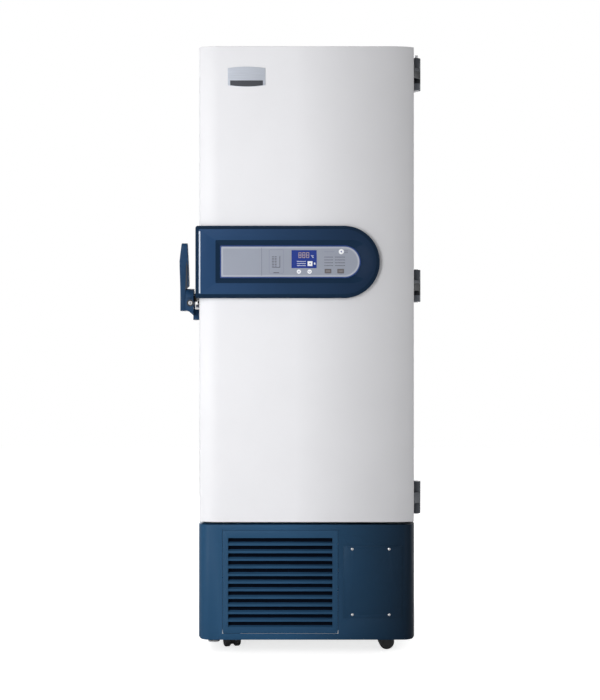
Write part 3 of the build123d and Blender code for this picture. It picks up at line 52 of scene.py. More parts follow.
FLAT_ANGLE = radians(0.4)
MERGE_DISTANCE = 2e-6

slot_of = {part["node"]: part["material_slot"] for part in frame["record"]["subparts"]}
body_of = {node: body for body, members in frame["record"]["behaviour"]["bodies"].items() for node in members}


def place(node):
    """The lowest and the highest corner of a CAD node, in millimetres."""
    low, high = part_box(node)
    return low / MM, high / MM


# Mesh helpers

def new_piece(name, points, faces):
    """A mesh object from points in millimetres, with its faces turned outwards."""
    mesh = bpy.data.meshes.new(name)
    mesh.from_pydata([Vector(point) * MM for point in points], [], faces)
    piece = bpy.data.objects.new(name, mesh)
    bpy.context.scene.collection.objects.link(piece)
    face_outwards(mesh)
    return piece


def face_outwards(mesh):
    """Merge doubled points and turn every closed shell's faces outwards."""
    work = bmesh.new()
    work.from_mesh(mesh)
    bmesh.ops.remove_doubles(work, verts=work.verts, dist=1e-6)
    bmesh.ops.recalc_face_normals(work, faces=work.faces)
    work.to_mesh(mesh)
    work.free()


def arc(centre, radius, start, end, steps):
    """Points on an arc from one angle to another, in degrees, with both ends."""
    angles = [radians(start + (end - start) * n / steps) for n in range(steps + 1)]
    return [(centre[0] + radius * cos(a), centre[1] + radius * sin(a)) for a in angles]


def rounded(low, high, radius, steps=6):
    """A rectangle between two corners with four rounded corners."""
    corners = (
        ((high[0] - radius, high[1] - radius), 0),
        ((low[0] + radius, high[1] - radius), 90),
        ((low[0] + radius, low[1] + radius), 180),
        ((high[0] - radius, low[1] + radius), 270),
    )
    return [point for centre, turn in corners for point in arc(centre, radius, turn, turn + 90, steps)]


def upright(outline, y):
    """Stand a flat outline of x and z at depth y."""
    return [(x, y, z) for x, z in outline]


def level(outline, z):
    """Lay a flat outline of x and y at height z."""
    return [(x, y, z) for x, y in outline]


def loft(name, rings, closed=True):
    """Skin a row of rings that have the same number of points, and cap both ends."""
    count = len(rings[0])
    points = [point for ring in rings for point in ring]
    faces = []
    for base in range(0, (len(rings) - 1) * count, count):
        for n in range(count):
            m = (n + 1) % count
            faces.append((base + n, base + m, base + count + m, base + count + n))
    if closed:
        faces.append(tuple(range(count)))
        faces.append(tuple(range(len(points) - count, len(points))))
    return new_piece(name, points, faces)


def slab(name, outline, front, back):
    """An upright plate of the given outline between two depths."""
    return loft(name, [upright(outline, front), upright(outline, back)])


def band(name, outer, inner, front, back):
    """A flat frame between two outlines that have the same number of points."""
    rows = ((outer, back), (outer, front), (inner, front), (inner, back), (outer, back))
    return loft(name, [upright(outline, depth) for outline, depth in rows], closed=False)


def tile(name, low, high, front, thickness=0.3):
    """A small upright rectangle whose face lies at the given depth."""
    outline = [low, (high[0], low[1]), high, (low[0], high[1])]
    return slab(name, outline, front, front + thickness)


def joined(name, pieces):
    """One piece from several, which are used up."""
    work = bmesh.new()
    for piece in pieces:
        work.from_mesh(piece.data)
        bpy.data.objects.remove(piece)
    mesh = bpy.data.meshes.new(name)
    work.to_mesh(mesh)
    work.free()
    result = bpy.data.objects.new(name, mesh)
    bpy.context.scene.collection.objects.link(result)
    return result


def flatten(piece):
    """Turn a piece's modifiers into a plain mesh."""
    bpy.context.view_layer.update()
    graph = bpy.context.evaluated_depsgraph_get()
    mesh = bpy.data.meshes.new_from_object(piece.evaluated_get(graph))
    piece.modifiers.clear()
    piece.data = mesh
    return piece


def cut(piece, cutters):
    """Take the cutters' shapes out of a piece."""
    tool = joined("cutter", cutters)
    hollow = piece.modifiers.new("openings", "BOOLEAN")
    hollow.operation = "DIFFERENCE"
    hollow.solver = "EXACT"
    hollow.use_self = True
    hollow.object = tool
    flatten(piece)
    bpy.data.objects.remove(tool)
    return piece


def ease(piece, width, segments=2, angle=30):
    """Round the sharp edges of a piece by a small width."""
    piece.data.shade_smooth()
    edges = piece.modifiers.new("edges", "BEVEL")
    edges.width = width * MM
    edges.segments = segments
    edges.limit_method = "ANGLE"
    edges.angle_limit = radians(angle)
    edges.harden_normals = True
    return flatten(piece)


def thicken(piece, width):
    """Give an open shell a wall on its inner side."""
    wall = piece.modifiers.new("wall", "SOLIDIFY")
    wall.thickness = width * MM
    wall.offset = -1
    wall.use_even_offset = True
    return flatten(piece)


def eased(node, width, segments=2):
    """A copy of a CAD node's shape with its flat facets joined and its edges rounded."""
    mesh = frame["nodes"][node].data.copy()
    work = bmesh.new()
    work.from_mesh(mesh)
    bmesh.ops.remove_doubles(work, verts=work.verts, dist=MERGE_DISTANCE)
    bmesh.ops.dissolve_limit(work, angle_limit=FLAT_ANGLE, verts=work.verts, edges=work.edges)
    work.to_mesh(mesh)
    work.free()
    mesh.materials.clear()
    piece = bpy.data.objects.new(f"{node}_eased", mesh)
    bpy.context.scene.collection.objects.link(piece)
    return ease(piece, width, segments)


def complete(piece, body, slot, *replaced, finish=None, smooth=True):
    """Give a finished mesh its material, its body and the nodes that it stands for."""
    if smooth and not piece.data.has_custom_normals:
        piece.data.shade_smooth()
        piece.data.set_sharp_from_angle(angle=SMOOTH_ANGLE)
    piece.data.materials.clear()
    piece.data.materials.append(finish or materials[slot])
    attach(piece, body)
    if replaced:
        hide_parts(*replaced)
    return piece


# Geometry Nodes: one shape repeated in rows and columns

def rows_and_columns_tree():
    """Repeat the incoming shape in columns and rows, then give every copy one material."""
    tree = bpy.data.node_groups.new("rows_and_columns", "GeometryNodeTree")
    tree.interface.new_socket("Geometry", in_out="OUTPUT", socket_type="NodeSocketGeometry")
    tree.interface.new_socket("Shape", in_out="INPUT", socket_type="NodeSocketGeometry")
    for label in ("Columns", "Rows"):
        tree.interface.new_socket(label, in_out="INPUT", socket_type="NodeSocketInt").default_value = 1
    for label in ("Column Step", "Row Step"):
        tree.interface.new_socket(label, in_out="INPUT", socket_type="NodeSocketVector")
    tree.interface.new_socket("Material", in_out="INPUT", socket_type="NodeSocketMaterial")
    given = tree.nodes.new("NodeGroupInput")
    shape = given.outputs["Shape"]
    for count, step in (("Columns", "Column Step"), ("Rows", "Row Step")):
        line = tree.nodes.new("GeometryNodeMeshLine")
        line.mode = "OFFSET"
        tree.links.new(given.outputs[count], line.inputs["Count"])
        tree.links.new(given.outputs[step], line.inputs["Offset"])
        copies = tree.nodes.new("GeometryNodeInstanceOnPoints")
        tree.links.new(line.outputs["Mesh"], copies.inputs["Points"])
        tree.links.new(shape, copies.inputs["Instance"])
        real = tree.nodes.new("GeometryNodeRealizeInstances")
        tree.links.new(copies.outputs["Instances"], real.inputs["Geometry"])
        shape = real.outputs["Geometry"]
    painted = tree.nodes.new("GeometryNodeSetMaterial")
    tree.links.new(shape, painted.inputs["Geometry"])
    tree.links.new(given.outputs["Material"], painted.inputs["Material"])
    out = tree.nodes.new("NodeGroupOutput")
    tree.links.new(painted.outputs["Geometry"], out.inputs["Geometry"])
    return tree


rows_and_columns = rows_and_columns_tree()


def repeated(shape, columns=1, column_step=(0, 0, 0), rows=1, row_step=(0, 0, 0), material=None):
    """A shape repeated through the node tree, as a plain mesh; steps are in millimetres."""
    items = rows_and_columns.interface.items_tree
    sockets = {item.name: item.identifier for item in items if item.in_out == "INPUT"}
    spread_out = shape.modifiers.new("rows", "NODES")
    spread_out.node_group = rows_and_columns
    values = {"Columns": columns, "Rows": rows, "Material": material}
    values["Column Step"] = [step * MM for step in column_step]
    values["Row Step"] = [step * MM for step in row_step]
    for label, value in values.items():
        spread_out[sockets[label]] = value
    return flatten(shape)


def printed(name, corners, front, tone, body="door", slot="panel_silver", **steps):
    """A printed mark, or rows of them, just proud of the surface under it."""
    mark = tile(name, *corners, front - PRINT)
    if steps:
        repeated(mark, material=tone, **steps)
    return complete(mark, body, slot, finish=tone)


# Shader groups: each puts out a colour, a roughness and a normal that change over the surface

def shader_group(name, inputs):
    """A node group with the given inputs and the three outputs that every finish uses."""
    tree = bpy.data.node_groups.new(name, "ShaderNodeTree")
    for label, kind, value in inputs:
        socket = tree.interface.new_socket(label, in_out="INPUT", socket_type=f"NodeSocket{kind}")
        socket.default_value = value
    for label, kind in (("Colour", "Color"), ("Roughness", "Float"), ("Normal", "Vector")):
        tree.interface.new_socket(label, in_out="OUTPUT", socket_type=f"NodeSocket{kind}")
    return tree, tree.nodes.new("NodeGroupInput"), tree.nodes.new("NodeGroupOutput")


def noise(tree, scale, detail=2.0, stretch=None):
    """Noise on the piece's own coordinates, stretched along an axis where a finish is brushed."""
    source = tree.nodes.new("ShaderNodeTexCoord").outputs["Object"]
    if stretch:
        mapping = tree.nodes.new("ShaderNodeMapping")
        mapping.inputs["Scale"].default_value = stretch
        tree.links.new(source, mapping.inputs["Vector"])
        source = mapping.outputs["Vector"]
    texture = tree.nodes.new("ShaderNodeTexNoise")
    texture.inputs["Detail"].default_value = detail
    tree.links.new(source, texture.inputs["Vector"])
    if hasattr(scale, "links"):
        tree.links.new(scale, texture.inputs["Scale"])
    else:
        texture.inputs["Scale"].default_value = scale
    return texture.outputs["Fac"]


def mixed(tree, factor, first, second):
    """Mix two colours by a factor, each a socket or a colour."""
    node = tree.nodes.new("ShaderNodeMix")
    node.data_type = "RGBA"
    sockets = (node.inputs["Factor"], node.inputs[6], node.inputs[7])
    for socket, value in zip(sockets, (factor, first, second)):
        if hasattr(value, "links"):
            tree.links.new(value, socket)
        else:
            socket.default_value = value
    return node.outputs[2]


def spread(tree, value, low, high, to_low=0.0, to_high=1.0):
    """Map a value from one range to another."""
    node = tree.nodes.new("ShaderNodeMapRange")
    tree.links.new(value, node.inputs["Value"])
    limits = (("From Min", low), ("From Max", high), ("To Min", to_low), ("To Max", to_high))
    for label, limit in limits:
        if hasattr(limit, "links"):
            tree.links.new(limit, node.inputs[label])
        else:
            node.inputs[label].default_value = limit
    return node.outputs["Result"]


def bumped(tree, height, strength, distance):
    """A normal from a height."""
    node = tree.nodes.new("ShaderNodeBump")
    node.inputs["Distance"].default_value = distance
    tree.links.new(height, node.inputs["Height"])
    tree.links.new(strength, node.inputs["Strength"])
    return node.outputs["Normal"]


def arithmetic(tree, operation, first, second):
    """One sum or product of two values, each a socket or a number."""
    node = tree.nodes.new("ShaderNodeMath")
    node.operation = operation
    for socket, value in zip(node.inputs, (first, second)):
        if hasattr(value, "links"):
            tree.links.new(value, socket)
        else:
            socket.default_value = value
    return node.outputs[0]


def deepened(tree, colour, amount, start):
    """A colour that deepens towards the right, painted on in place of the photograph's uneven light."""
    parts = tree.nodes.new("ShaderNodeSeparateXYZ")
    tree.links.new(tree.nodes.new("ShaderNodeTexCoord").outputs["Object"], parts.inputs["Vector"])
    share = arithmetic(tree, "MULTIPLY", spread(tree, parts.outputs["X"], start, 0.36), amount)
    return mixed(tree, share, colour, (0.0, 0.0, 0.0, 1))


def coated_group():
    """Sprayed and baked coating: orange peel, a faint mottle, a few dull patches, and painted shade that
    darkens the colour towards the right.
    """
    tree, given, out = shader_group("sprayed_coating", (
        ("Colour", "Color", (0.8, 0.8, 0.8, 1)),
        ("Mottle", "Float", 0.03),
        ("Roughness", "Float", 0.35),
        ("Peel", "Float", 0.12),
        ("Fade", "Float", 0.0),
        ("Fade Start", "Float", -0.05),
    ))
    patches = spread(tree, noise(tree, 5.0, 4.0), 0.35, 0.7)
    share = arithmetic(tree, "MULTIPLY", patches, given.outputs["Mottle"])
    tone = mixed(tree, share, given.outputs["Colour"], (0.02, 0.02, 0.025, 1))
    # Painted shade: the colour darkens towards the right of the piece.
    tone = deepened(tree, tone, given.outputs["Fade"], given.outputs["Fade Start"])
    tree.links.new(tone, out.inputs["Colour"])
    dull = arithmetic(tree, "MULTIPLY", spread(tree, noise(tree, 17.0, 3.0), 0.4, 0.75), 0.08)
    tree.links.new(arithmetic(tree, "ADD", given.outputs["Roughness"], dull), out.inputs["Roughness"])
    peel = bumped(tree, noise(tree, 330.0, 1.5), given.outputs["Peel"], 0.0004)
    tree.links.new(peel, out.inputs["Normal"])
    return tree


def moulded_group():
    """Moulded plastic: a fine spark-eroded grain, slight flow marks, and painted shade that darkens the
    colour towards the right.
    """
    tree, given, out = shader_group("moulded_grain", (
        ("Colour", "Color", (0.5, 0.5, 0.5, 1)),
        ("Mottle", "Float", 0.05),
        ("Roughness", "Float", 0.45),
        ("Grain", "Float", 0.15),
        ("Grain Scale", "Float", 1400.0),
        ("Fade", "Float", 0.0),
        ("Fade Start", "Float", -0.05),
    ))
    flow = noise(tree, 9.0, 3.0, (1.0, 1.0, 0.35))
    share = arithmetic(tree, "MULTIPLY", spread(tree, flow, 0.35, 0.7), given.outputs["Mottle"])
    tone = mixed(tree, share, given.outputs["Colour"], (0.0, 0.0, 0.0, 1))
    # Painted shade: the colour darkens towards the right of the piece.
    tone = deepened(tree, tone, given.outputs["Fade"], given.outputs["Fade Start"])
    tree.links.new(tone, out.inputs["Colour"])
    grain = noise(tree, given.outputs["Grain Scale"], 2.0)
    shine = arithmetic(tree, "MULTIPLY", spread(tree, grain, 0.3, 0.7), 0.08)
    tree.links.new(arithmetic(tree, "ADD", given.outputs["Roughness"], shine), out.inputs["Roughness"])
    tree.links.new(bumped(tree, grain, given.outputs["Grain"], 0.00015), out.inputs["Normal"])
    return tree


def drawn_group(name, stretch):
    """Rolled or brushed metal: long fine lines along one way, and clouded roughness."""
    tree, given, out = shader_group(name, (
        ("Colour", "Color", (0.6, 0.6, 0.6, 1)),
        ("Contrast", "Float", 0.12),
        ("Roughness", "Float", 0.3),
        ("Lines", "Float", 0.1),
    ))
    lines = noise(tree, 900.0, 3.0, stretch)
    share = arithmetic(tree, "MULTIPLY", spread(tree, lines, 0.3, 0.7), given.outputs["Contrast"])
    tree.links.new(mixed(tree, share, given.outputs["Colour"], (0.05, 0.05, 0.05, 1)), out.inputs["Colour"])
    cloud = arithmetic(tree, "MULTIPLY", spread(tree, noise(tree, 12.0, 3.0), 0.3, 0.75), 0.12)
    tree.links.new(arithmetic(tree, "ADD", given.outputs["Roughness"], cloud), out.inputs["Roughness"])
    tree.links.new(bumped(tree, lines, given.outputs["Lines"], 0.0001), out.inputs["Normal"])
    return tree


def spangled_group():
    """Hot-dip zinc: crystal spangles that differ in tone and shine."""
    tree, given, out = shader_group("zinc_spangle", (
        ("Colour", "Color", (0.6, 0.6, 0.6, 1)),
        ("Roughness", "Float", 0.35),
    ))
    source = tree.nodes.new("ShaderNodeTexCoord").outputs["Object"]
    cells = tree.nodes.new("ShaderNodeTexVoronoi")
    cells.inputs["Scale"].default_value = 90.0
    tree.links.new(source, cells.inputs["Vector"])
    tone = tree.nodes.new("ShaderNodeSeparateColor")
    tree.links.new(cells.outputs["Color"], tone.inputs["Color"])
    share = spread(tree, tone.outputs["Red"], 0.0, 1.0, 0.0, 0.35)
    tree.links.new(mixed(tree, share, given.outputs["Colour"], (0.2, 0.21, 0.22, 1)), out.inputs["Colour"])
    shine = spread(tree, tone.outputs["Green"], 0.0, 1.0, 0.0, 0.15)
    tree.links.new(arithmetic(tree, "ADD", given.outputs["Roughness"], shine), out.inputs["Roughness"])
    strength = tree.nodes.new("ShaderNodeValue")
    strength.outputs[0].default_value = 0.05
    tree.links.new(bumped(tree, tone.outputs["Blue"], strength.outputs[0], 0.0001), out.inputs["Normal"])
    return tree


def porous_group():
    """Open foam or rubber: small cells that dent the surface, and painted shade that darkens the colour in
    the dents.
    """
    tree, given, out = shader_group("porous_cells", (
        ("Colour", "Color", (0.5, 0.5, 0.5, 1)),
        ("Depth", "Float", 0.3),
        ("Roughness", "Float", 0.8),
        ("Cell Scale", "Float", 500.0),
    ))
    cells = noise(tree, given.outputs["Cell Scale"], 4.0)
    # The colour darkens where the cells dent: painted shade.
    share = arithmetic(tree, "MULTIPLY", spread(tree, cells, 0.6, 0.35), given.outputs["Depth"])
    tree.links.new(mixed(tree, share, given.outputs["Colour"], (0.01, 0.01, 0.01, 1)), out.inputs["Colour"])
    tree.links.new(given.outputs["Roughness"], out.inputs["Roughness"])
    tree.links.new(bumped(tree, cells, given.outputs["Depth"], 0.0008), out.inputs["Normal"])
    return tree


coated = coated_group()
moulded = moulded_group()
brushed_up = drawn_group("brushed_upright", (1.0, 1.0, 0.02))
brushed_across = drawn_group("brushed_across", (0.02, 1.0, 1.0))
spangled = spangled_group()
porous = porous_group()


def finish(name, group, values, **constants):
    """A material from one shader group's values, with plain constants on the shader itself."""
    material = bpy.data.materials.new(name)
    material.use_nodes = True
    tree = material.node_tree
    shader = tree.nodes["Principled BSDF"]
    texture = tree.nodes.new("ShaderNodeGroup")
    texture.node_tree = group
    for label, value in values.items():
        texture.inputs[label].default_value = (*value, 1) if label == "Colour" else value
    for ours, theirs in (("Colour", "Base Color"), ("Roughness", "Roughness"), ("Normal", "Normal")):
        tree.links.new(texture.outputs[ours], shader.inputs[theirs])
    for label, value in constants.items():
        shader.inputs[label.replace("_", " ")].default_value = value
    return material


def glowing(name, colour, strength):
    """A lit segment or lamp on the display."""
    material = finish(name, moulded, {"Colour": colour, "Grain": 0.0, "Roughness": 0.3})
    shader = material.node_tree.nodes["Principled BSDF"]
    shader.inputs["Emission Color"].default_value = (*colour, 1)
    shader.inputs["Emission Strength"].default_value = strength
    return material


def sprayed(name, colour, roughness=0.35, mottle=0.03, peel=0.12, painted_shade=0.0, painted_shade_start=-0.05, **constants):
    values = {"Colour": colour, "Roughness": roughness, "Mottle": mottle, "Peel": peel}
    values.update({"Fade": painted_shade, "Fade Start": painted_shade_start})
    return finish(name, coated, values, **constants)


def plastic(name, colour, roughness=0.45, grain=0.15, mottle=0.05, scale=1400.0, painted_shade=0.0, painted_shade_start=-0.05,
            **constants):
    values = {"Colour": colour, "Roughness": roughness, "Grain": grain, "Mottle": mottle}
    values.update({"Grain Scale": scale, "Fade": painted_shade, "Fade Start": painted_shade_start})
    return finish(name, moulded, values, **constants)


def metal(name, colour, roughness=0.3, contrast=0.12, lines=0.1, group=None, **constants):
    values = {"Colour": colour, "Roughness": roughness, "Contrast": contrast, "Lines": lines}
    return finish(name, group or brushed_up, values, Metallic=1.0, **constants)


def cellular(name, colour, roughness=0.8, depth=0.3, scale=500.0, **constants):
    values = {"Colour": colour, "Roughness": roughness, "Depth": depth, "Cell Scale": scale}
    return finish(name, porous, values, **constants)


materials = {
    "white_paint": sprayed("white_paint", (0.80, 0.80, 0.82), 0.4, 0.02, 0.1),
    # The base's blue paint carries painted shade, darker towards the right.
    "blue_paint": sprayed(
        "blue_paint", (0.0215, 0.075, 0.156), 0.42, 0.05, 0.12, painted_shade=0.87, Specular_IOR_Level=0.1
    ),
    # The console's blue plastic carries painted shade, darker towards the right from further left.
    "blue_plastic": plastic(
        "blue_plastic", (0.018, 0.056, 0.138), 0.42, 0.08, painted_shade=0.8, painted_shade_start=-0.28, Specular_IOR_Level=0.12
    ),
    "handle_plastic": plastic("handle_plastic", (0.015, 0.048, 0.11), 0.4, 0.1, Specular_IOR_Level=0.1),
    "panel_silver": plastic("panel_silver", (0.30, 0.325, 0.39), 0.42, 0.05, 0.03, 2500.0, Metallic=0.2),
    "display": plastic("display", (0.006, 0.03, 0.24), 0.18, 0.0, 0.0, Coat_Weight=0.6),
    "button_white": plastic("button_white", (0.86, 0.87, 0.9), 0.4, 0.05),
    "key_dark": plastic("key_dark", (0.12, 0.11, 0.115), 0.5, 0.1),
    "circuit_board": plastic("circuit_board", (0.02, 0.14, 0.06), 0.35, 0.05),
    "insulation": cellular("insulation", (0.72, 0.62, 0.38), 0.9, 0.35, 260.0),
    "liner_steel": metal("liner_steel", (0.66, 0.67, 0.69), 0.32, group=brushed_across),
    "white_plastic": plastic("white_plastic", (0.78, 0.79, 0.80), 0.42, 0.1, 0.03),
    "gasket_rubber": cellular("gasket_rubber", (0.20, 0.21, 0.22), 0.62, 0.12, 900.0),
    "copper": metal("copper", (0.72, 0.36, 0.22), 0.3, 0.25),
    "dark_metal": sprayed("dark_metal", (0.022, 0.024, 0.028), 0.42, 0.05, 0.25),
    "bright_steel": metal("bright_steel", (0.68, 0.68, 0.70), 0.22),
    "black_steel": sprayed("black_steel", (0.012, 0.012, 0.013), 0.25, 0.1, 0.3),
    "galvanised": finish("galvanised", spangled, {"Colour": (0.55, 0.57, 0.58)}, Metallic=1.0),
    "coil_aluminium": metal("coil_aluminium", (0.70, 0.71, 0.72), 0.35),
    "filter_mat": cellular("filter_mat", (0.06, 0.06, 0.065), 0.95, 0.5, 380.0),
    "black_plastic": plastic("black_plastic", (0.014, 0.014, 0.015), 0.5, 0.2, 0.1),
    "box_paint": sprayed("box_paint", (0.42, 0.43, 0.45), 0.5, 0.04, 0.2),
}
# Three tones for identical hinges: painted reflection and shade on one dark finish.
hinge_painted_mid = sprayed("hinge_painted_mid", (0.075, 0.082, 0.095), 0.45, 0.05, 0.2, Specular_IOR_Level=0.2)
hinge_painted_dark = sprayed("hinge_painted_dark", (0.012, 0.014, 0.018), 0.45, 0.05, 0.2, Specular_IOR_Level=0.2)
hinge_painted_light = sprayed("hinge_painted_light", (0.12, 0.13, 0.15), 0.45, 0.05, 0.2, Specular_IOR_Level=0.2)
print_dark = plastic("print_dark", (0.09, 0.09, 0.12), 0.5, 0.0)
# The door's paint carries painted shade, darker towards the right.
door_paint = sprayed("door_paint", (0.80, 0.80, 0.825), 0.4, 0.02, 0.1, painted_shade=0.38, painted_shade_start=-0.02)
print_pale = plastic("print_pale", (0.62, 0.66, 0.75), 0.5, 0.0)
rim_blue = plastic("rim_blue", (0.012, 0.045, 0.20), 0.35, 0.05)
# Darker blue for the console's sloping bevels: painted shade.
bevel_painted_shade = plastic("bevel_painted_shade", (0.008, 0.024, 0.054), 0.5, 0.08, Specular_IOR_Level=0.05)
# A pale blue-white strip on the console's left edge: a painted highlight.
edge_painted_highlight = plastic("edge_painted_highlight", (0.62, 0.70, 0.82), 0.35, 0.05)
print_border = plastic("print_border", (0.40, 0.425, 0.49), 0.45, 0.05)
print_grey = plastic("print_grey", (0.24, 0.25, 0.33), 0.5, 0.0)
print_blue = plastic("print_blue", (0.06, 0.07, 0.28), 0.5, 0.0)
key_print = plastic("key_print", (0.30, 0.28, 0.30), 0.5, 0.0)
badge_silver = metal("badge_silver", (0.66, 0.70, 0.78), 0.4, group=brushed_across)
badge_grey = metal("badge_grey", (0.10, 0.105, 0.12), 0.42, group=brushed_across)
handle_shadow = plastic("handle_shadow", (0.006, 0.014, 0.03), 0.5, 0.1)
# The grille's blue carries painted shade, darker towards the right.
grille_blue = plastic("grille_blue", (0.0215, 0.072, 0.148), 0.45, 0.08, painted_shade=0.45, Specular_IOR_Level=0.1)
# Near-black for the grille's blades: painted shade in the slots.
blade_in_painted_shade = plastic("blade_in_painted_shade", (0.002, 0.004, 0.010), 0.6, 0.1, Specular_IOR_Level=0.02)
digit_glow = glowing("digit_glow", (0.42, 0.33, 0.30), 0.15)

for node, slot in slot_of.items():
    shape = frame["nodes"][node].data
    shape.materials.clear()
    shape.materials.append(materials[slot])


# Door skin: a folded sheet with gently curved sides, rounded along its top and bottom edges
DOOR_CURVE = 70.0
DOOR_CURVE_DEPTH = 12.0
DOOR_EDGE = 3.0
DOOR_CORNER = 6.0
DOOR_CORNER_REACH = 1.8
DOOR_CORNER_TURNS = (90, 60, 30)
SHEET = 1.5
CURVE_STEPS = 16


def door_plan(low, high):
    """The door seen from above: straight back, short sides and a front that curves back at each side."""
    radius = (DOOR_CURVE ** 2 + DOOR_CURVE_DEPTH ** 2) / (2 * DOOR_CURVE_DEPTH)
    reach = DOOR_CURVE - DOOR_CORNER_REACH
    curve = []
    for n in range(CURVE_STEPS + 1):
        across = reach * (1 - n / CURVE_STEPS)
        curve.append((across, low.y + radius - sqrt(radius ** 2 - across ** 2)))
    start, depth = curve[0]
    corner = []
    for turn in DOOR_CORNER_TURNS:
        across = start + DOOR_CORNER_REACH * sin(radians(turn))
        corner.append((across, depth + DOOR_CORNER * (1 - cos(radians(turn)))))
    side = corner + curve
    left = [(low.x + DOOR_CURVE - across, y) for across, y in side]
    right = [(high.x - DOOR_CURVE + across, y) for across, y in reversed(side)]
    return [(low.x, high.y)] + left + right + [(high.x, high.y)]


def build_door_skin():
    """The sheet in place of the CAD's door panel, open to the back."""
    low, high = place("door_outer_panel")
    plan = door_plan(low, high)
    skin = loft("door_skin", [level(plan, low.z), level(plan, high.z)])
    work = bmesh.new()
    work.from_mesh(skin.data)
    back = [face for face in work.faces if face.normal.y > 0.9]
    bmesh.ops.delete(work, geom=back, context="FACES_ONLY")
    work.to_mesh(skin.data)
    work.free()
    ease(skin, DOOR_EDGE, 4, 40)
    thicken(skin, SHEET)
    complete(skin, "door", "white_paint", "door_outer_panel", finish=door_paint)


build_door_skin()

# Console: the CAD's moulding with softened edges, a blue rim, the panel and its border
PANEL = {"left": -262.0, "centre": 138.0, "half": 51.0, "corner": 3}
PANEL_END_STEPS = 40
PANEL_CORNER_STEPS = 5
PLATE_PROUD = 0.3
PRINT = 0.15
RIM_OUT = 1.5
PLATE_IN = 2
BORDER_IN = (2.6, 8)
HIGHLIGHT_STRIP = ((-331.5, 1176), (-327.0, 1376))
HIGHLIGHT_STRIP_PROUD = 0.2
# How far the bevels' faces turn from the front, for their painted shade.
PAINTED_SHADE_FACING = (-0.97, -0.2)


def panel_outline(grow):
    """The panel's outline, wider all round by a margin: a square left end and a round right end."""
    low, high = place("console_housing")
    middle = (low.z + high.z) / 2
    left, half, corner = PANEL["left"] - grow, PANEL["half"] + grow, PANEL["corner"]
    bottom_left = arc((left + corner, middle - half + corner), corner, 270, 180, PANEL_CORNER_STEPS)
    top_left = arc((left + corner, middle + half - corner), corner, 180, 90, PANEL_CORNER_STEPS)
    return bottom_left + top_left + arc((PANEL["centre"], middle), half, 90, -90, PANEL_END_STEPS)


def build_console():
    """Housing, rim, plate, border and the pale strip of painted highlight along the left edge."""
    panel_low, panel_high = place("console_panel")
    housing = eased("console_housing", 1.5, 3)
    complete(housing, "door", "blue_plastic", "console_housing")
    # Faces that slope between the front and the top, bottom or sides take the darker blue: painted shade on
    # the bevels.
    housing.data.materials.append(bevel_painted_shade)
    steepest, flattest = PAINTED_SHADE_FACING
    for face in housing.data.polygons:
        if steepest < face.normal.y < flattest:
            face.material_index = 1
    rim = slab("console_rim", panel_outline(RIM_OUT), panel_low.y - 0.2, panel_high.y)
    complete(rim, "door", "blue_plastic", finish=rim_blue)
    plate_front = panel_low.y - PLATE_PROUD
    plate = slab("console_plate", panel_outline(-PLATE_IN), plate_front, panel_high.y)
    ease(plate, 0.5, 2)
    complete(plate, "door", "panel_silver", "console_panel")
    outer, inner = (panel_outline(-margin) for margin in BORDER_IN)
    border = band("panel_border", outer, inner, plate_front - PRINT, plate_front + PRINT)
    complete(border, "door", "panel_silver", finish=print_border)
    front = place("console_housing")[0].y
    # A painted highlight: a pale strip along the console's rounded left front edge.
    strip = tile("console_painted_highlight", *HIGHLIGHT_STRIP, front - HIGHLIGHT_STRIP_PROUD, 0.6)
    complete(strip, "door", "blue_plastic", finish=edge_painted_highlight)


# Print on the panel: low and high corners in x and z, and the steps of what repeats
DIVIDER = ((-129.6, 1232), (-128.6, 1324))
CHART_FRAME = ((-105.5, 1240), (-57.5, 1317.6))
CHART_FRAME_CORNER = 5
CHART_FRAME_LINE = 1.4
CHART_BAR = ((-95.8, 1263), (-89.5, 1265.2))
CHART_BARS = {"rows": 7, "row_step": (0, 0, 5.0), "columns": 2, "column_step": (8.6, 0, 0)}
CHART_LINE = ((-71.5, 1261), (-69.3, 1296.6))
CHART_BASE = ((-95.8, 1259), (-69.3, 1261))
CHART_TITLE = ((-91, 1241.5), (-73, 1244))
DASH_STEP = (4.1, 0, 0)
LABEL_BLOCKS = (("left_labels", 73.5, 7), ("right_labels", 108.0, 8))
LABEL_DASH = (2.9, (1264.4, 1266.8))
LABEL_ROWS = {"rows": 4, "row_step": (0, 0, 9.15)}
TOP_LABEL = ((74.0, 1309.3), (76.8, 1311.5))
MUTE_LABEL = ((138.0, 1306.6), (140.6, 1308.6))
MUTE_DASHES = {"columns": 3, "column_step": (3.9, 0, 0), "rows": 2, "row_step": (0, 0, 5.4)}
KEY_LABEL = ((80.0, 1236.5), (90.0, 1238.5))
KEY_LABELS = {"columns": 2, "column_step": (40.9, 0, 0)}


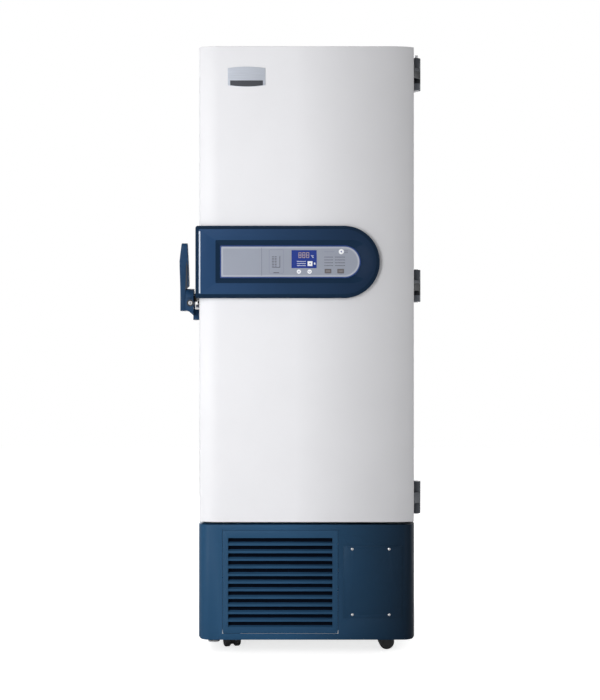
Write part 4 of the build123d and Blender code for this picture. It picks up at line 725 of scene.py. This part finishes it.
def build_panel_print():
    """Divider, chart and the dashes that stand for rows of labels."""
    front = place("console_panel")[0].y - PLATE_PROUD
    printed("panel_divider", DIVIDER, front, print_dark)
    low, high = CHART_FRAME
    line, corner = CHART_FRAME_LINE, CHART_FRAME_CORNER
    outline = rounded(low, high, corner, 4)
    inner = rounded((low[0] + line, low[1] + line), (high[0] - line, high[1] - line), corner - line, 4)
    frame_mark = band("chart_frame", outline, inner, front - PRINT, front + PRINT)
    complete(frame_mark, "door", "panel_silver", finish=print_grey)
    printed("chart_bars", CHART_BAR, front, print_dark, **CHART_BARS)
    printed("chart_line", CHART_LINE, front, print_dark)
    printed("chart_base", CHART_BASE, front, print_dark)
    printed("chart_title", CHART_TITLE, front, print_dark)
    width, (bottom, top) = LABEL_DASH
    for name, left, count in LABEL_BLOCKS:
        dash = ((left, bottom), (left + width, top))
        printed(name, dash, front, print_dark, columns=count, column_step=DASH_STEP, **LABEL_ROWS)
    printed("top_label", TOP_LABEL, front, print_grey, columns=8, column_step=DASH_STEP)
    printed("mute_label", MUTE_LABEL, front, print_dark, **MUTE_DASHES)
    printed("key_labels", KEY_LABEL, front, print_grey, **KEY_LABELS)


# Display: three figures of seven strokes, a degree mark with its unit, three lines and a lamp
FIGURE = {"left": -10.2, "bottom": 1290.2, "wide": 9.2, "tall": 18.4, "stroke": 1.9}
FIGURES = {"columns": 3, "column_step": (12.6, 0, 0)}
DEGREE = {"centre": (31.8, 1297.6), "radii": (1.9, 0.9)}
UNIT = {"centre": (37.0, 1294.6), "radii": (3.6, 2.2)}
LINE_DASH = ((-15.2, 1264.4), (-12.6, 1266.8))
LINE_DASHES = {"columns": 8, "column_step": (3.6, 0, 0), "rows": 3, "row_step": (0, 0, 6.7)}
LAMP = ((39.5, 1268.3), (44.5, 1275.8))
LAMP_CORNER = 2.4


def build_display():
    """The figures and marks that the window shows."""
    glass = place("display_window")[0].y
    left, bottom, stroke = FIGURE["left"], FIGURE["bottom"], FIGURE["stroke"]
    right, top = left + FIGURE["wide"], bottom + FIGURE["tall"]
    strokes = []
    for n in range(3):
        foot = bottom + n * (FIGURE["tall"] - stroke) / 2
        strokes.append(((left, foot), (right, foot + stroke)))
    for n in range(2):
        side = left + n * (FIGURE["wide"] - stroke)
        strokes.append(((side, bottom), (side + stroke, top)))
    figure = joined("display_figures", [tile("stroke", low, high, glass - PRINT) for low, high in strokes])
    repeated(figure, material=digit_glow, **FIGURES)
    complete(figure, "door", "display", finish=digit_glow)
    outer, inner = (arc(DEGREE["centre"], radius, 0, 345, 12) for radius in DEGREE["radii"])
    degree = band("degree_mark", outer, inner, glass - PRINT, glass + PRINT)
    complete(degree, "door", "display", finish=print_pale)
    outer, inner = (arc(UNIT["centre"], radius, 45, 315, 14) for radius in UNIT["radii"])
    unit = slab("unit_mark", outer + list(reversed(inner)), glass - PRINT, glass + PRINT)
    complete(unit, "door", "display", finish=print_pale)
    printed("display_lines", LINE_DASH, glass, print_pale, slot="display", **LINE_DASHES)
    lamp = slab("display_lamp", rounded(*LAMP, LAMP_CORNER, 4), glass - PRINT, glass + PRINT)
    complete(lamp, "door", "display", finish=print_pale)


# Marks on the buttons: half the width, half the rise and whether the arrow points to the left
ARROWS = (("button_up", 3.0, 1.4, False), ("button_down", 3.4, -1.6, False))
ARROWS += (("button_mute", 3.2, 0, True), ("button_set", 3.0, 0, True))
ARROW_STROKE = 1.6
ARROW_TAIL = 0.6
KEY_BAR = ((-5.5, -2.2), (-4.0, 2.2))
KEY_BARS = {"columns": 4, "column_step": (3.2, 0, 0)}


def middle_of(node):
    """The middle of a CAD node's front, in x and z, and its depth."""
    low, high = place(node)
    return (low.x + high.x) / 2, (low.z + high.z) / 2, low.y


def build_button_marks():
    """An arrowhead on each round or square button, and four bars on each key."""
    for node, half, rise, turned in ARROWS:
        x, z, front = middle_of(node)
        shape = [(-half, -rise), (0, rise), (half, -rise)]
        shape += [(across, up - ARROW_STROKE) for across, up in reversed(shape)]
        if turned:
            shape = [(-half, 0), (half * ARROW_TAIL, half), (half * ARROW_TAIL, -half)]
        outline = [(x + across, z + up) for across, up in shape]
        mark = slab(f"{node}_mark", outline, front - PRINT, front + PRINT)
        complete(mark, body_of[node], "button_white", finish=print_blue)
    for node in ("key_left", "key_right"):
        x, z, front = middle_of(node)
        bar = tuple((x + across, z + up) for across, up in KEY_BAR)
        printed(f"{node}_mark", bar, front, key_print, body_of[node], "key_dark", **KEY_BARS)


build_console()
build_panel_print()
build_display()
build_button_marks()

# Badge plate: bare, arched along its top and bottom, with a darker lower band
BADGE = {"left": -239.6, "right": -118.0, "low": 1847.5, "high": 1913.0, "band": 1868.0, "arch": 5.0}
BADGE_STEPS = 16
BADGE_DEPTHS = (-1.6, 1.5)
BAND_DEPTHS = (-1.75, -1.2)
BAND_RISE = 1.2


def build_badge():
    """The plate and its lower band, on the flat of the door."""
    front = place("door_outer_panel")[0].y
    left, right, arch = BADGE["left"], BADGE["right"], BADGE["arch"]
    across = [left + (right - left) * n / BADGE_STEPS for n in range(BADGE_STEPS + 1)]
    bow = [arch * (1 - (2 * n / BADGE_STEPS - 1) ** 2) for n in range(BADGE_STEPS + 1)]
    top = [(x, BADGE["high"] - arch + rise) for x, rise in zip(across, bow)]
    bottom = [(x, BADGE["low"] + arch - rise) for x, rise in zip(across, bow)]
    plate = slab("badge_plate", top + list(reversed(bottom)), *(front + depth for depth in BADGE_DEPTHS))
    ease(plate, 0.5, 2)
    complete(plate, "door", "panel_silver", finish=badge_silver)
    lower_edge = [(x, z + BAND_RISE) for x, z in bottom[1:-1]]
    upper_edge = [(x, BADGE["band"]) for x in reversed(across[1:-1])]
    lower = slab("badge_band", lower_edge + upper_edge, *(front + depth for depth in BAND_DEPTHS))
    complete(lower, "door", "panel_silver", finish=badge_grey)


build_badge()

# Handle and lock: softened mouldings, a strip of painted shadow along the lever and a ring round the key
SHADOW_STRIP_FOOT = ((9, 66), (2.2, 74))
SHADOW_STRIP_HEAD = ((2.2, 74), (6, 60))
KEY_RING = (11.0, 6.5)
KEYHOLE_HALF = (0.9, 4.2)


def build_handle():
    """Bracket, lever with its strip of painted shadow, hook, and the ring and keyhole of the lock."""
    complete(eased("handle_bracket", 1.2, 3), "door", "handle_plastic", "handle_bracket")
    complete(eased("handle_lever", 1.6, 3), "handle", "handle_plastic", "handle_lever")
    low, high = place("handle_lever")
    # A very dark strip along the lever's edge: painted shadow.
    strip = [(high.x - inset, low.z + rise) for inset, rise in SHADOW_STRIP_FOOT]
    strip += [(high.x - inset, high.z - drop) for inset, drop in SHADOW_STRIP_HEAD]
    shadow_strip = slab("lever_painted_shadow", strip, low.y - 0.2, low.y + 0.6)
    complete(shadow_strip, "handle", "handle_plastic", finish=handle_shadow)
    # The steel hook is coloured black: painted shade of the gap between the handle and the door.
    hook = eased("latch_hook", 0.5, 2)
    complete(hook, "handle", "bright_steel", "latch_hook", finish=materials["black_plastic"])
    x, z, front = middle_of("lock_cylinder")
    outer, inner = (arc((x, z), radius, 0, 350, 35) for radius in KEY_RING)
    ring = band("lock_ring", outer, inner, front - 0.5, front + 1.0)
    complete(ring, "door", "handle_plastic", finish=materials["black_plastic"])
    half_width, half_height = KEYHOLE_HALF
    corners = ((x - half_width, z - half_height), (x + half_width, z + half_height))
    keyhole = tile("keyhole", *corners, front - 0.1)
    complete(keyhole, "lock", "bright_steel", finish=materials["black_plastic"])


build_handle()

# Hinges: the middles of the three barrels, and the heights about them where the painted reflection changes
# tone
HINGE_MIDDLES = (502.0, 1207.0, 1912.0)
HINGE_ZONES = (-31.5, 8.0)


def build_hinge(node, body):
    """One hinge node with its barrels cut and painted in zones of painted reflection and shade, the lowest
    barrel in one tone.
    """
    piece = eased(node, 0.8, 2)
    work = bmesh.new()
    work.from_mesh(piece.data)
    for middle in HINGE_MIDDLES[1:]:
        for zone in HINGE_ZONES:
            everything = work.verts[:] + work.edges[:] + work.faces[:]
            height = (0, 0, (middle + zone) * MM)
            bmesh.ops.bisect_plane(work, geom=everything, plane_co=height, plane_no=(0, 0, 1))
    work.to_mesh(piece.data)
    work.free()
    complete(piece, body, "dark_metal", node)
    piece.data.materials.clear()
    # The zones' tones are painted reflection and shade.
    for tone in (hinge_painted_light, hinge_painted_dark, hinge_painted_mid):
        piece.data.materials.append(tone)
    for face in piece.data.polygons:
        height = face.center.z / MM
        middle = min(HINGE_MIDDLES, key=lambda barrel: abs(barrel - height))
        zone = sum(height - middle > edge for edge in HINGE_ZONES)
        face.material_index = 2 if middle == HINGE_MIDDLES[0] else zone


build_hinge("hinge_brackets", "cabinet")
build_hinge("door_hinge_leaves", "door")

# Base: softened panels, blades in the grille's slots coloured near-black as painted shade, and the heads of
# four screws
SOFT_EDGES = {"base_side_panels": 2.0, "base_front_panel": 1.2, "access_plate": 0.8, "rear_grille": 0.6}
GRILLE_SLOTS = {"left": -239.0, "right": 100.0, "first": 93.2, "pitch": 24.7, "height": 17.5, "count": 12}
BLADE_DEPTH = 6.0
BLADE_END_GAP = 0.5
SCREW = {"centre": (164.4, 133.8), "radius": 4.2, "cross": 2.0, "cross_half": 0.45}
SCREW_PROFILE = ((1.0, -0.4), (1.0, 0.9), (0.8, 1.6), (0.45, 1.9))
SCREW_STEPS = {"columns": 2, "column_step": (119.6, 0, 0), "rows": 2, "row_step": (0, 0, 212.7)}


def screw_head(name, front):
    """A pan head with a cross recess, facing the front."""
    x, z = SCREW["centre"]
    rings = []
    for share, rise in SCREW_PROFILE:
        rings.append(upright(arc((x, z), SCREW["radius"] * share, 0, 345, 23), front - rise))
    long, half = SCREW["cross"], SCREW["cross_half"]
    across = tile("bar", (x - long, z - half), (x + long, z + half), front - 3, 2.2)
    along = tile("bar", (x - half, z - long), (x + half, z + long), front - 3.1, 2.3)
    return cut(loft(name, rings), [across, along])


def build_blades():
    """One blade behind each slot of the grille, coloured near-black as painted shade."""
    low = place("front_grille")[0]
    depth, height = low.y + BLADE_DEPTH, GRILLE_SLOTS["height"]
    profile = [(depth, -1.0), (depth + 1.2, 0.6), (depth + 9.0, height - 3), (depth + 7.8, height - 3.6)]
    sides = (GRILLE_SLOTS["left"] + BLADE_END_GAP, GRILLE_SLOTS["right"] - BLADE_END_GAP)
    blade = loft("grille_blades", [[(x, y, GRILLE_SLOTS["first"] + z) for y, z in profile] for x in sides])
    repeated(blade, rows=GRILLE_SLOTS["count"], row_step=(0, 0, GRILLE_SLOTS["pitch"]), material=blade_in_painted_shade)
    complete(blade, "grille", "blue_plastic", finish=blade_in_painted_shade)


def build_base():
    """Panels, grille, blades and screws."""
    for node, width in SOFT_EDGES.items():
        complete(eased(node, width, 2), "cabinet", slot_of[node], node)
    complete(eased("front_grille", 0.8, 2), "grille", "blue_plastic", "front_grille", finish=grille_blue)
    build_blades()
    screws = screw_head("access_screw_heads", place("access_plate")[0].y)
    repeated(screws, material=materials["bright_steel"], **SCREW_STEPS)
    complete(screws, "cabinet", "bright_steel", "access_screws")


build_base()


# Stage: pale floor, white surroundings, lamps and the camera
def build_world():
    world = bpy.data.worlds.new("studio")
    bpy.context.scene.world = world
    world.use_nodes = True
    tree = world.node_tree
    background = tree.nodes["Background"]
    path = tree.nodes.new("ShaderNodeLightPath")
    direction = tree.nodes.new("ShaderNodeTexCoord").outputs["Generated"]
    parts = tree.nodes.new("ShaderNodeSeparateXYZ")
    tree.links.new(direction, parts.inputs["Vector"])
    behind = spread(tree, parts.outputs["Y"], -0.1, 0.3)
    mirrored = arithmetic(tree, "MULTIPLY", path.outputs["Is Glossy Ray"], behind)
    seen = arithmetic(tree, "MAXIMUM", path.outputs["Is Camera Ray"], path.outputs["Is Transmission Ray"])
    seen = arithmetic(tree, "MAXIMUM", seen, mirrored)
    background.inputs["Color"].default_value = (1, 1, 1, 1)
    tree.links.new(spread(tree, seen, 0.0, 1.0, WORLD_LEVEL, 1.0), background.inputs["Strength"])


WORLD_LEVEL = 0.37
FLOOR_SIZE = 14.0
FLOOR_GLOW = 0.72


def build_floor():
    size = FLOOR_SIZE / MM / 2
    corners = [(-size, -size, 0), (size, -size, 0), (size, size, 0), (-size, size, 0)]
    floor = new_piece("floor", corners, [(0, 1, 2, 3)])
    material = bpy.data.materials.new("floor_white")
    material.use_nodes = True
    tree = material.node_tree
    shader = tree.nodes["Principled BSDF"]
    shader.inputs["Base Color"].default_value = (0.75, 0.75, 0.75, 1)
    shader.inputs["Roughness"].default_value = 0.9
    shader.inputs["Emission Color"].default_value = (1, 1, 1, 1)
    path = tree.nodes.new("ShaderNodeLightPath")
    glow = spread(tree, path.outputs["Is Camera Ray"], 0.0, 1.0, 0.0, FLOOR_GLOW)
    tree.links.new(glow, shader.inputs["Emission Strength"])
    floor.data.materials.append(material)


def area_lamp(name, location, target, width, height, power):
    """A soft box that faces a point."""
    lamp = bpy.data.lights.new(name, "AREA")
    lamp.shape = "RECTANGLE"
    lamp.size = width
    lamp.size_y = height
    lamp.energy = power
    holder = bpy.data.objects.new(name, lamp)
    holder.location = location
    holder.rotation_euler = (Vector(target) - Vector(location)).to_track_quat("-Z", "Y").to_euler()
    bpy.context.scene.collection.objects.link(holder)


# Camera: level, in front of the door, with the focal length in millimetres
CAMERA_PLACE = (-0.0054, -3.9125, 0.993)
CAMERA_LENS = 55.43


def build_camera():
    camera = bpy.data.cameras.new("camera")
    camera.lens = CAMERA_LENS
    holder = bpy.data.objects.new("camera", camera)
    holder.location = CAMERA_PLACE
    holder.rotation_euler = (radians(90), 0, 0)
    bpy.context.scene.collection.objects.link(holder)
    bpy.context.scene.camera = holder


# Lamps: place, what each faces, width, height and power, in metres and watts
LAMPS = {
    "key_lamp": ((-1.5, -2.6, 1.1), (0, -0.3, 1.0), 0.9, 3.2, 58),
    "fill_lamp": ((1.8, -2.6, 1.2), (0, -0.3, 1.0), 0.9, 2.8, 12),
    "rim_lamp": ((2.2, 0.6, 1.1), (0.3, -0.2, 1.0), 0.6, 2.6, 20),
    "back_lamp": ((-1.0, 3.0, 1.8), (0, 0.3, 1.0), 1.6, 2.4, 60),
}

build_world()
build_floor()
for name, values in LAMPS.items():
    area_lamp(name, *values)
build_camera()
bpy.context.scene.view_settings.view_transform = "Standard"
